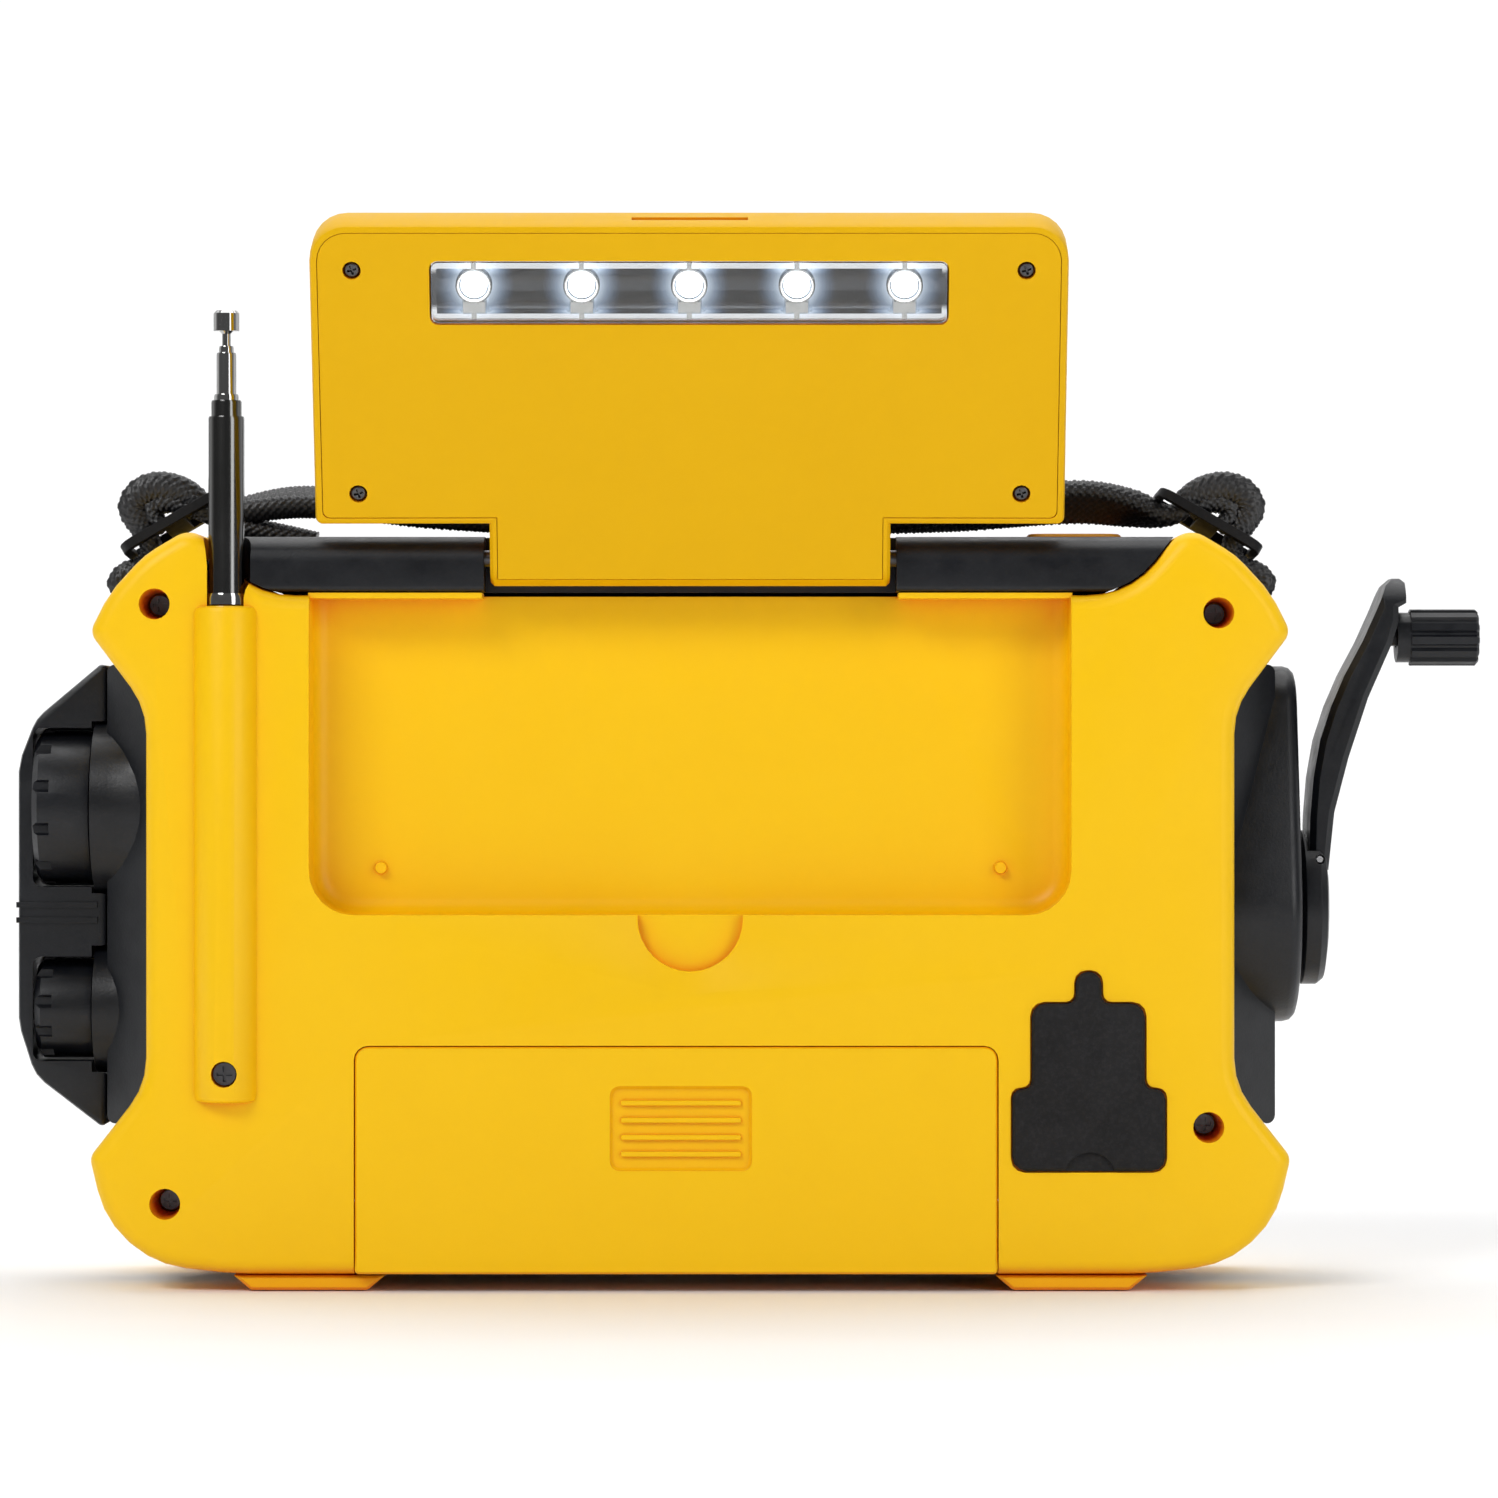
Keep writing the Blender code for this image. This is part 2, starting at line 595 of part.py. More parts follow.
def knob_guard():
    """The black frame that stands round both knobs."""
    outline = rounded(
        [
            (-107.3, 114.2, 1.0),
            (-120.4, 103.2, 7.0),
            (-123.6, 95.0, 8.0),
            (-123.6, 47.0, 8.0),
            (-120.6, 37.6, 7.0),
            (-107.3, 27.4, 1.0),
        ]
    )
    guard = plate("knob_guard", outline, "Y", -7.0, 11.0, bevel=1.2, segments=2)
    for z, half in ((TUNING_Z, 14.6), (VOLUME_Z, 9.6)):
        window = round_box(-120.9, -106.0, z - half, z + half, 1.6)
        cut(guard, plate("window", window, "Y", -20, 8.6))
        cut(guard, block("slit", (-120.9, 8.0, z - half + 2.2), (-106.0, 20, z + half - 2.2)))
    for z, radius in ((TUNING_Z, 17.3), (VOLUME_Z, 13.6)):
        cut(guard, rod("cup_room", (-100, KNOB_Y, z), (-110.1, KNOB_Y, z), radius, 32))
    for z in (66.2, 69.0):
        join(guard, block("rib", (-123.9, -7.5, z - 0.5), (-109.0, -6.5, z + 0.5)))
    node(guard, BLACK)


def knob(name, z, radius, notches, phase):
    """A knob with half-round notches at its outer rim and a stub shaft into the case."""
    shaft = [(0, -16.0), (2.6, -16.0), (2.6, 1.4), (radius - 1.2, 1.4)]
    profile = shaft + [(radius - 0.2, 1.9), (radius, 3.0), (radius, 11.2), (radius - 1.4, 12.3), (0, 12.3)]
    made = turned(name, list(reversed(profile)), (-108.2, KNOB_Y, z), (-1, 0, 0), 36)
    for i in range(notches):
        angle = 2 * pi * (i + phase) / notches
        y, up = KNOB_Y + radius * cos(angle), z + radius * sin(angle)
        cut(made, rod("notch", (-117.3, y, up), (-122.0, y, up), 1.3, 6))
    node(made, BLACK, (-108.2, KNOB_Y, z))


def crank():
    """Hub with its shaft, fold pin, swinging arm, and the fluted grip on its screw."""
    shaft = [(0, -28.0), (3.0, -28.0), (3.0, 0.0)]
    disc = [(13.2, 0.0), (HUB_R, 0.9), (HUB_R, 3.6), (13.2, 4.8), (10.0, 5.3), (0, 5.3)]
    profile = shaft + disc
    hub = turned("crank_hub", list(reversed(profile)), (111.6, 0, CRANK_Z), (1, 0, 0), 36)
    cut(hub, block("slot", (112.9, -9.4, CRANK_Z + 6.2), (120, 9.4, CRANK_Z + 20)))
    cut(hub, rod("pin_hole", (115.2, -13, CRANK_Z + 9.0), (115.2, 13, CRANK_Z + 9.0), 0.9, 10))
    node(hub, BLACK, (111.6, 0, CRANK_Z))
    top = GRIP_Z + 10.8
    side = (
        [(113.4, CRANK_Z + 7.6), (116.9, CRANK_Z + 7.0), (118.0, 86.0), (120.6, 96.0), (124.2, 107.0)]
        + [(128.6, 117.0)]
        + [(129.8, 121.0), (129.8, 123.6), (131.2, 124.4), (131.2, top - 0.8), (130.4, top), (129.0, top)]
        + [(127.6, top - 1.4), (126.0, 123.6), (123.2, 117.4), (119.8, 111.0), (117.4, 105.4), (115.4, 99.2)]
        + [(114.2, 92.4), (113.6, 85.0)]
    )
    arm = plate("crank_arm", side, "Y", -9.0, 9.0, bevel=1.1, segments=1)
    cut(arm, rod("pin_hole", (115.2, -13, CRANK_Z + 9.0), (115.2, 13, CRANK_Z + 9.0), 0.9, 10))
    outline = rounded([(-9.6, 70, 0), (9.6, 70, 0), (9.6, top + 0.2, 8.5), (-9.6, top + 0.2, 8.5)])
    band = plate("band", outline, "X", 105, 140)
    tool = arm.modifiers.new("tool", "BOOLEAN")
    tool.operation = "INTERSECT"
    tool.solver = "EXACT"
    tool.object = band
    settle(arm)
    bpy.data.objects.remove(band)
    axle = rod("axle", (128.0, 0, GRIP_Z), (142.5, 0, GRIP_Z), 1.6, 12)
    join(arm, axle, rod("head", (142.4, 0, GRIP_Z), (143.8, 0, GRIP_Z), 2.3, 16))
    node(arm, BLACK, (115.2, 0, CRANK_Z + 9.0))
    node(rod("crank_fold_pin", (115.2, -9.6, CRANK_Z + 9.0), (115.2, 9.6, CRANK_Z + 9.0), 0.6, 10), STEEL)
    flutes = 12
    ring = []
    for i in range(flutes):
        for share, radius in ((0.0, 5.2), (0.5, 5.2), (0.66, 4.6), (0.84, 4.6)):
            a = 2 * pi * (i + share) / flutes
            ring.append((radius * cos(a), GRIP_Z + radius * sin(a)))
    grip = plate("crank_grip", ring, "X", 132.6, 145.1, bevel=0.5, segments=1, rim="high")
    join(grip, rod("neck", (130.1, 0, GRIP_Z), (133.0, 0, GRIP_Z), 4.6, 20))
    cut(grip, rod("bore", (128, 0, GRIP_Z), (142.0, 0, GRIP_Z), 2.0, 12))
    cut(grip, rod("bore", (141.0, 0, GRIP_Z), (147, 0, GRIP_Z), 2.7, 16))
    node(grip, BLACK, (130.1, 0, GRIP_Z))


LEAN = Matrix.Rotation(radians(PANEL_LEAN), 4, "X")
HINGE = (0.0, HINGE_Y, HINGE_Z)
WINDOW = (-46.0, 46.0, 45.2, 56.9)  # lamp window: sides, then near and far edge from the hinge axis
LED_ROW = 51.9
LED_PITCH = 19.1
PANEL_SCREWS = [(-59.7, 55.2), (59.7, 55.2), (-59.4, 13.8), (59.4, 13.8)]


def raised(made, look, tidy=False):
    """Moves a piece drawn upright at the hinge axis to its leaning place, and files it."""
    made.data.transform(Matrix.Translation(Vector(HINGE) * MM) @ LEAN)
    node(made, look, HINGE, tidy)


def panel_outline(margin, near):
    """Outline of the lamp panel: a wide part, and a narrower tab down to the hinge."""
    wide, tab = PANEL_HALF_WIDTH - margin, TAB_HALF_WIDTH - margin
    top, step = PANEL_REACH - margin, PANEL_NEAR + margin
    half = [(wide, top, 6.5 - margin), (wide, step, 1.3), (tab, step + 0.05, 0.0), (tab, near, 0.0)]
    return rounded(mirrored(half))


def lamp_panel():
    thick = PANEL_HALF_THICK
    housing = plate("panel_housing", panel_outline(0, PANEL_NEAR - 2), "Y", -thick, thick, bevel=1.2, segments=2)
    round_r = thick - 0.02
    end = arc(0, 0, round_r, 180, 360, 12) + [(round_r, PANEL_NEAR + 2), (-round_r, PANEL_NEAR + 2)]
    join(housing, plate("tab", end, "X", -TAB_HALF_WIDTH, TAB_HALF_WIDTH, bevel=0.6, segments=1))
    cut(housing, plate("cover_seat", panel_outline(1.3, -2.6), "Y", -thick - 3, -3.0))
    room = plate("room", round_box(-64.6, 64.6, 11.0, 59.6, 4.0), "Y", -4, 2.6)
    cut(room, *[rod("post", (x, -5, z), (x, 4, z), 2.8, 12) for x, z in PANEL_SCREWS])
    cut(housing, room)
    cut(housing, plate("solar_seat", round_box(-60, 60, 12.5, 57.5, 3.0), "Y", 3.7, thick + 1))
    cut(housing, block("finger_groove", (-10.2, -1.0, PANEL_REACH - 0.5), (10.4, 0.8, PANEL_REACH + 1)))
    cut(housing, rod("pin_hole", (-40, 0, 0), (40, 0, 0), 1.8, 16))
    for x, z in PANEL_SCREWS:
        cut(housing, rod("thread", (x, -4, z), (x, 2.2, z), 0.9, 10))
    raised(housing, PANEL_YELLOW)
    cover = plate("panel_cover", panel_outline(1.42, -2.3), "Y", -thick + 0.1, -3.3)
    x0, x1, z0, z1 = WINDOW
    cut(cover, plate("window", round_box(x0, x1, z0, z1, 1.5), "Y", -7, 0))
    cut(cover, block("swing_room", (-40, -4.0, -4), (40, 0, 3.6)))
    for x, z in PANEL_SCREWS:
        cut(cover, rod("hole", (x, -7, z), (x, 0, z), 1.65, 14))
    raised(cover, PANEL_YELLOW)
    raised(plate("solar_plate", round_box(-59.7, 59.7, 12.8, 57.2, 2.7), "Y", 4.0, thick - 0.1), SOLAR)
    lens = plate("lamp_lens", round_box(x0 + GAP, x1 - GAP, z0 + GAP, z1 - GAP, 1.2), "Y", -4.8, -3.9)
    raised(lens, CLEAR)
    reflector = block("lamp_reflector", (x0 + 0.3, -3.0, z0 + 0.4), (x1 - 0.3, 1.2, z1 - 0.4))
    cut(reflector, rod("channel", (x0 + 1.2, -3.5, 51.0), (x1 - 1.2, -3.5, 51.0), 4.2, 24))
    board = block("lamp_board", (x0 + 1, 1.5, z0), (x1 - 1, 2.4, z1))
    for i in range(-2, 3):
        x = i * LED_PITCH
        cut(reflector, rod("hole", (x, -5, LED_ROW), (x, 3, LED_ROW), 3.0, 16))
        join(board, rod("led", (x, 2.0, LED_ROW), (x, -1.8, LED_ROW), 2.5, 14, bevel=0.9))
    raised(reflector, CHROME)
    raised(board, WHITE)
    for number, (x, z) in enumerate(PANEL_SCREWS, 1):
        screw = rod(f"panel_screw_{number}", (x, -4.6, z), (x, -3.3, z), 1.3, 12)
        raised(join(screw, rod("shank", (x, -3.5, z), (x, 2.0, z), 0.6, 8)), BLACK_STEEL)
    node(rod("panel_hinge_pin", (-44.0, HINGE_Y, HINGE_Z), (44.0, HINGE_Y, HINGE_Z), 1.5, 16), STEEL, HINGE)


# Aerial tubes: outer radius, inner radius, bottom and top height.
AERIAL_TUBES = [
    (3.25, 2.95, 81.5, 157.5),
    (2.75, 2.45, 83.4, 160.4),
    (2.25, 2.0, 84.5, 161.5),
    (1.8, 1.55, 88.0, 169.0),
    (1.35, 1.05, 89.5, 170.2),
]


def aerial():
    def tube(name, outer, inner, low, high, lip=0.0, look=CHROME):
        profile = [(outer, high - 0.4), (outer - 0.1, high), (inner, high), (inner, low), (outer, low)]
        if lip:
            rim = [(outer + lip, high - 0.7), (outer + lip - 0.2, high), (inner, high)]
            wall = [(inner, low), (outer, low), (outer, high - 2.3), (outer + lip, high - 2.0)]
            profile = rim + wall
        made = turned(name, list(reversed(profile)), (AERIAL_X, AERIAL_Y, 0), (0, 0, 1), 16)
        node(made, look, (AERIAL_X, AERIAL_Y, high))

    tube("aerial_base", 3.6, 3.4, 43.5, AERIAL_MOUTH, lip=0.2)
    for number, (outer, inner, low, high) in enumerate(AERIAL_TUBES, 1):
        tube(f"aerial_section_{number}", outer, inner, low, high)
    thin = [(0, 92.0), (0.8, 92.0), (0.8, 172.4)]
    tip = [(1.3, 172.9), (2.35, 172.9), (2.35, 176.1), (1.9, 176.6), (0, 176.6)]
    made = turned("aerial_rod", list(reversed(thin + tip)), (AERIAL_X, AERIAL_Y, 0), (0, 0, 1), 16)
    node(made, CHROME, (AERIAL_X, AERIAL_Y, 176.6))
    head_y = BACK + 0.3
    screw = rod("aerial_screw", (AERIAL_X, head_y - 2.0, 39.2), (AERIAL_X, head_y, 39.2), 2.05, 16)
    join(screw, rod("shank", (AERIAL_X, head_y - 0.5, 39.2), (AERIAL_X, head_y + 5, 39.2), 1.1, 10))
    cut(screw, *cross(AERIAL_X, head_y - 2.0, 39.2, 1.4))
    node(screw, BLACK_STEEL)


def cross(x, y, z, reach):
    """Two crossed slots for a screw head that faces the back."""
    return [
        block("slot", (x - reach, y - 1, z - 0.3), (x + reach, y + 0.9, z + 0.3)),
        block("slot", (x - 0.3, y - 1, z - reach), (x + 0.3, y + 0.9, z + reach)),
    ]


def case_screws():
    for number, (x, z) in enumerate(CASE_SCREWS, 1):
        y = SCREW_SEAT - 2.0
        screw = rod(f"case_screw_{number}", (x, y, z), (x, SCREW_SEAT - GAP, z), SEAT_R - 0.3, 14)
        join(screw, rod("shank", (x, y + 1, z), (x, SEAM_FRONT + 7, z), 1.2, 10))
        cut(screw, *cross(x, y, z, 1.2))
        node(screw, BLACK_STEEL)


def feet():
    for name, x0, x1 in (("foot_left", -82.4, -55.0), ("foot_right", 55.0, 82.5)):
        foot = BOTTOM - GAP
        outline = rounded([(x0 + 3.2, 0, 0.8), (x1 - 3.2, 0, 0.8), (x1, foot, 0), (x0, foot, 0)], 45)
        node(plate(name, outline, "Y", BACK + 2.5, FRONT - 2.5, bevel=0.5, segments=1, rim="both"), YELLOW)


def battery_bay():
    x0, x1, z0, z1 = DOOR
    left, right, low, high = x0 + DOOR_GAP, x1 - DOOR_GAP, BOTTOM + 0.1, z1 - DOOR_GAP
    outline = rounded([(left, low, 0.8), (right, low, 0.8), (right, high, 2.4), (left, high, 2.4)])
    door = plate("battery_door", outline, "Y", BACK, BACK + 2.2, bevel=0.4, segments=1, rim="low")
    gx0, gx1, gz0, gz1 = GRIP
    outline = round_box(gx0, gx1, gz0, gz1, 1.7)
    grip = plate("grip", outline, "Y", BACK - 2, BACK + 0.9, bevel=0.5, segments=1, rim="high")
    cut(door, grip)
    for z in (33.9, 30.8, 27.7, 24.7):
        ridge = block("ridge", (gx0 + 1.9, BACK + 0.05, z - 0.5), (gx1 - 1.9, BACK + 1.2, z + 0.5), 0.2, 1)
        join(door, ridge)
    node(door, YELLOW, (0, BACK, 24))
    y = BACK + 10.6
    for number, (x, z) in enumerate(((-50.8, 33.4), (0.6, 33.4), (-50.8, 15.2)), 1):
        cell = rod(f"aa_cell_{number}", (x, y, z), (x + 49.0, y, z), 7.2, 16)
        node(join(cell, rod("cap", (x + 48.5, y, z), (x + 50.4, y, z), 2.7, 12)), WRAP)
    pack = rod("battery_pack", (0.6, y, 15.2), (50.6, y, 15.2), 7.2, 16, bevel=1.0)
    node(pack, ORANGE)


def ports():
    cover = plate("port_cover", cover_outline(), "Y", BACK - 0.9, BACK + 1.2, bevel=0.5, segments=1, rim="low")
    cut(cover, rod("lift", (71.9, BACK - 2, 20.4), (71.9, BACK - 0.2, 20.4), 4.7, 20))
    node(cover, RUBBER, (71.7, BACK - 0.9, 57.4))
    blocky = block("port_block", (60.8, BACK + 3.0, 24.3), (82.7, -17.0, 48.7), 0.5, 1)
    cut(blocky, block("usb", (66.0, BACK, 38.5), (78.0, BACK + 9, 43.0)))
    cut(blocky, rod("jack", (66.6, BACK, 29.4), (66.6, BACK + 9, 29.4), 1.9, 14))
    cut(blocky, rod("jack", (77.0, BACK, 29.4), (77.0, BACK + 9, 29.4), 2.6, 14))
    node(blocky, BLACK)


def gear_ring(teeth, y, z, phase):
    """The outline of a spur gear in the Y-Z plane, thinned a little for play. phase is in tooth pitches."""
    pitch = teeth * MODULE / 2
    levels = [(pitch - 1.1 * MODULE, 0.33), (pitch + 0.8 * MODULE, 0.10)]
    sides = [(r, -w) for r, w in levels] + [(r, w) for r, w in reversed(levels)]
    ring = []
    for i in range(teeth):
        for radius, share in sides:
            a = 2 * pi * (i + phase + share) / teeth
            ring.append((y + radius * cos(a), z + radius * sin(a)))
    return ring


def crank_gears():
    """Drive gear on the crank shaft, a double idler, and the generator with its pinion."""
    idler_z = CRANK_Z - MODULE * (DRIVE_TEETH + IDLER_WHEEL_TEETH) / 2
    pinion_z = idler_z - MODULE * (IDLER_OUT_TEETH + PINION_TEETH) / 2
    # Each gear meets the next at the bottom of its circle, a tooth of one in a gap of the other.
    drive = plate("drive_gear", gear_ring(DRIVE_TEETH, 0, CRANK_Z, 0.0), "X", 83.9, 87.3)
    cut(drive, rod("bore", (80, 0, CRANK_Z), (92, 0, CRANK_Z), 3.3, 20))
    for i in range(5):
        a = 2 * pi * i / 5
        y, z = 10.0 * cos(a), CRANK_Z + 10.0 * sin(a)
        cut(drive, rod("light", (80, y, z), (92, y, z), 3.2, 12))
    node(drive, NYLON, (85, 0, CRANK_Z))
    phase = 0.5 - IDLER_WHEEL_TEETH * 0.25
    small = plate("idler_gear", gear_ring(IDLER_WHEEL_TEETH, 0, idler_z, phase), "X", 82.4, 87.3)
    big = plate("big", gear_ring(IDLER_OUT_TEETH, 0, idler_z, 0.0), "X", 79.4, 82.6)
    idler = join(small, big, rod("axle", (77.6, 0, idler_z), (92.0, 0, idler_z), 1.5, 12))
    node(idler, NYLON, (85, 0, idler_z))
    phase = 0.5 - PINION_TEETH * 0.25
    pinion = plate("generator_pinion", gear_ring(PINION_TEETH, 0, pinion_z, phase), "X", 79.2, 82.6)
    join(pinion, rod("shaft", (74.0, 0, pinion_z), (84.0, 0, pinion_z), 1.0, 12))
    node(pinion, STEEL, (81, 0, pinion_z))
    body = rod("generator", (58.0, 0, pinion_z), (78.6, 0, pinion_z), 11.5, 20)
    cut(body, rod("bore", (73.0, 0, pinion_z), (80, 0, pinion_z), 1.4, 12))
    node(body, STEEL)


def electronics():
    board = block("main_board", (-86, 14.0, 14), (20, 15.6, 112))
    x0, x1, z0, z1 = DISPLAY
    join(board, block("display", (x0 + 2, 15.0, z0 + 2), (x1 - 2, FRONT - 3.2, z1 - 2)))
    node(board, GREEN)
    x = -94.4
    controls = block("control_block", (x + 2.0, -7.0, 40), (x + 3.6, 9.0, 100))
    join(controls, block("capacitor", (x + 3.4, -8, TUNING_Z - 9), (x + 14, 9, TUNING_Z + 9), 0.5, 1))
    join(controls, rod("pot", (x + 3.4, KNOB_Y, VOLUME_Z), (x + 10, KNOB_Y, VOLUME_Z), 8.0, 20))
    for z in (TUNING_Z, VOLUME_Z):
        cut(controls, rod("bore", (x, KNOB_Y, z), (x + 6.5, KNOB_Y, z), 3.2, 16))
    node(controls, FERRITE)
    node(rod("ferrite_rod", (-62, 2.0, 119.5), (48, 2.0, 119.5), 4.5, 16, bevel=0.4), FERRITE)


def light_button():
    x0, x1 = 61.9, 79.4
    outline = round_box(x0, x1, -3.0, 4.0, 3.5, 30.0)
    cap = plate("light_button", outline, "Z", CASE_TOP - 4.5, CASE_TOP + 1.3, bevel=0.6, rim="high")
    node(cap, ORANGE, ((x0 + x1) / 2, 0.5, CASE_TOP))


# The strap's route over the left half, from its bar to the middle of the case: x, z, tilt in degrees.
STRAP_ROUTE = [
    (-104.8, 126.2, 0), (-105.9, 128.2, 0), (-104.4, 129.9, 0), (-101.6, 131.1, 0), (-99.9, 133.4, 0),
    (-100.5, 136.6, 0), (-102.2, 139.6, 0), (-103.4, 142.4, 0), (-102.2, 145.8, 0), (-98.6, 147.2, 0),
    (-94.4, 146.6, 0), (-91.4, 144.4, 0), (-90.0, 141.4, 0), (-86.6, 140.6, 2), (-81.0, 142.2, 14),
    (-72.0, 143.3, 22), (-60.0, 142.4, 18), (-48.0, 140.4, 6), (-30.0, 139.2, 0), (-10.0, 139.2, 0),
]
RIGHT_TILT = 2.4  # the right half is turned this many times further


def smooth_route(points, per_span):
    """A smooth curve through points, each a tuple of numbers."""
    ends = [points[0]] + list(points) + [points[-1]]
    route = []
    for i in range(1, len(ends) - 2):
        p0, p1, p2, p3 = (Vector(p) for p in ends[i - 1 : i + 3])
        for k in range(per_span):
            t = k / per_span
            square = 2 * p0 - 5 * p1 + 4 * p2 - p3
            cube = 3 * p1 - p0 - 3 * p2 + p3
            route.append(0.5 * (2 * p1 + (p2 - p0) * t + square * t**2 + cube * t**3))
    return route + [Vector(points[-1])]


def strap():
    """A flat woven strap, lofted along its route with its width across the case."""
    half = STRAP_ROUTE
    route = smooth_route(half + [(-x, z, -tilt * RIGHT_TILT) for x, z, tilt in reversed(half)], 2)
    a, b = STRAP_WIDE / 2, STRAP_THICK / 2
    section = [(-a, 0), (-a * 0.8, b), (a * 0.8, b), (a, 0), (a * 0.8, -b), (-a * 0.8, -b)]
    work = bmesh.new()
    rings = []
    for i, point in enumerate(route):
        along = route[min(i + 1, len(route) - 1)] - route[max(i - 1, 0)]
        normal = Vector((-along.y, along.x)).normalized()
        c, s = cos(radians(point.z)), sin(radians(point.z))
        ring = []
        for wide, thick in section:
            across, up = wide * c - thick * s, wide * s + thick * c
            place = Vector((point.x + normal.x * up, STRAP_Y + across, point.y + normal.y * up))
            ring.append(work.verts.new(place * MM))
        rings.append(ring)
    count = len(section)
    for near, far in zip(rings, rings[1:]):
        for k in range(count):
            work.faces.new((near[k], near[(k + 1) % count], far[(k + 1) % count], far[k]))
    work.faces.new(rings[0])
    work.faces.new(list(reversed(rings[-1])))
    bmesh.ops.recalc_face_normals(work, faces=work.faces)
    mesh = bpy.data.meshes.new("strap")
    work.to_mesh(mesh)
    work.free()
    node(add_object("strap", mesh), CORD, tidy=False)


def strap_sliders():
    """Three-bar sliders that lean up from the ears; the strap goes round each middle bar."""
    for name, side in (("strap_slider_left", -1), ("strap_slider_right", 1)):
        outline = round_box(-10.9, 10.9, -7.4, 7.4, 3.0, 30.0)
        slots = [round_box(x0, x1, -5.4, 5.4, 0.0) for x0, x1 in ((-9.3, -2.2), (2.2, 9.3))]
        frame = plate(name, outline, "Z", -0.9, 0.9, bevel=0.4, segments=1, holes=slots)
        turn = Matrix.Rotation(radians(side * 30), 4, "Y") @ Matrix.Rotation(radians(-7), 4, "X")
        frame.data.transform(Matrix.Translation(Vector((side * 95.2, STRAP_Y, 139.1)) * MM) @ turn)
        node(frame, BLACK)


def centre_on_base():
    """Shifts everything so that the origin is under the middle of the whole object's box."""
    bpy.context.view_layer.update()
    corners = [made.matrix_world @ v.co for made in PARTS.objects for v in made.data.vertices]
    root = bpy.data.objects.new("radio_origin", None)
    PARTS.objects.link(root)
    shift = [-(min(c[i] for c in corners) + max(c[i] for c in corners)) / 2 for i in range(2)]
    root.location = (shift[0], shift[1], -min(c.z for c in corners))
    for made in PARTS.objects:
        if made is not root:
            made.parent = root


def main():
    rear_shell()
    middle_case()
    front_frame()
    front_panel()
    speaker()
    side_panels()
    knob_guard()
    knob("tuning_knob", TUNING_Z, TUNING_R, 11, 0.0)
    knob("volume_knob", VOLUME_Z, VOLUME_R, 10, 0.74)
    crank()
    lamp_panel()
    aerial()
    case_screws()
    feet()
    battery_bay()
    ports()
    crank_gears()
    electronics()
    light_button()
    strap()
    strap_sliders()
    centre_on_base()


main()
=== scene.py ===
from math import cos, hypot, pi, radians, sin

import bmesh
import bpy
from mathutils import Matrix, Vector
from mathutils.bvhtree import BVHTree

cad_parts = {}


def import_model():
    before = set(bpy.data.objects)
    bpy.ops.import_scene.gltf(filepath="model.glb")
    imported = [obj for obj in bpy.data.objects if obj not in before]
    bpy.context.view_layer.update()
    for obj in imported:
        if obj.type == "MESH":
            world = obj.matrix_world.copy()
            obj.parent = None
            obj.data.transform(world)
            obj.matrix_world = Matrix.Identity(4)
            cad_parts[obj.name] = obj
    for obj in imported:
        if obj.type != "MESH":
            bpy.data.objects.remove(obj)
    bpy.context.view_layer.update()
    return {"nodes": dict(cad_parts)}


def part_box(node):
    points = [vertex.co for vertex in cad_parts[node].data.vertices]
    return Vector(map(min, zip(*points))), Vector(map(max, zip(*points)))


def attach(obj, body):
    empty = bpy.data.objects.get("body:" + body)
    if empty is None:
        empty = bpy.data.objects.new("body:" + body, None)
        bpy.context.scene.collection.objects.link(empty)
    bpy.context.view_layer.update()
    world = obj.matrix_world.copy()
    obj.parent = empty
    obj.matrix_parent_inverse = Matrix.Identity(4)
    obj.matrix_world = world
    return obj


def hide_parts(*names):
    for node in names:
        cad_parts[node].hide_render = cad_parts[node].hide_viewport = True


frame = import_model()
NODES = frame["nodes"]

# The CAD is drawn from the middle of the case, and the row frame from the middle of the whole object.
SHIFT = Vector((-0.0106, 0.0102161, 0.0))
MM = 0.001


def at(x, y, z):
    """A point of the row frame, in metres, from the case's own millimetres."""
    return Vector((x, y, z)) * MM + SHIFT


# Camera -------------------------------------------------------------------------------------------

VIEW_HEIGHT = 0.0976
VIEW_DISTANCE = 1.12


def camera():
    data = bpy.data.cameras.new("camera")
    data.sensor_width = 36.0
    data.lens = 147.0
    data.clip_start = 0.05
    data.clip_end = 50.0
    made = bpy.data.objects.new("camera", data)
    made.location = (0.0, -VIEW_DISTANCE, VIEW_HEIGHT)
    made.rotation_euler = (radians(90), 0, 0)
    bpy.context.scene.collection.objects.link(made)
    bpy.context.scene.camera = made


camera()


# Mesh helpers -------------------------------------------------------------------------------------

def add(name, work, material=None, recalc=True):
    """A new smooth-shaded object from a bmesh, which is freed."""
    if recalc:
        bmesh.ops.recalc_face_normals(work, faces=work.faces)
    mesh = bpy.data.meshes.new(name)
    work.to_mesh(mesh)
    work.free()
    for face in mesh.polygons:
        face.use_smooth = True
    made = bpy.data.objects.new(name, mesh)
    bpy.context.scene.collection.objects.link(made)
    if material:
        mesh.materials.append(material)
    return made


def loft(work, rings, closed=True, ends=True):
    """Faces between rings of points, each ring as long as the next."""
    rows = [[work.verts.new(p) for p in ring] for ring in rings]
    count = len(rows[0])
    for near, far in zip(rows, rows[1:]):
        for k in range(count if closed else count - 1):
            work.faces.new((near[k], near[(k + 1) % count], far[(k + 1) % count], far[k]))
    if ends:
        work.faces.new(list(reversed(rows[0])))
        work.faces.new(rows[-1])
    return rows


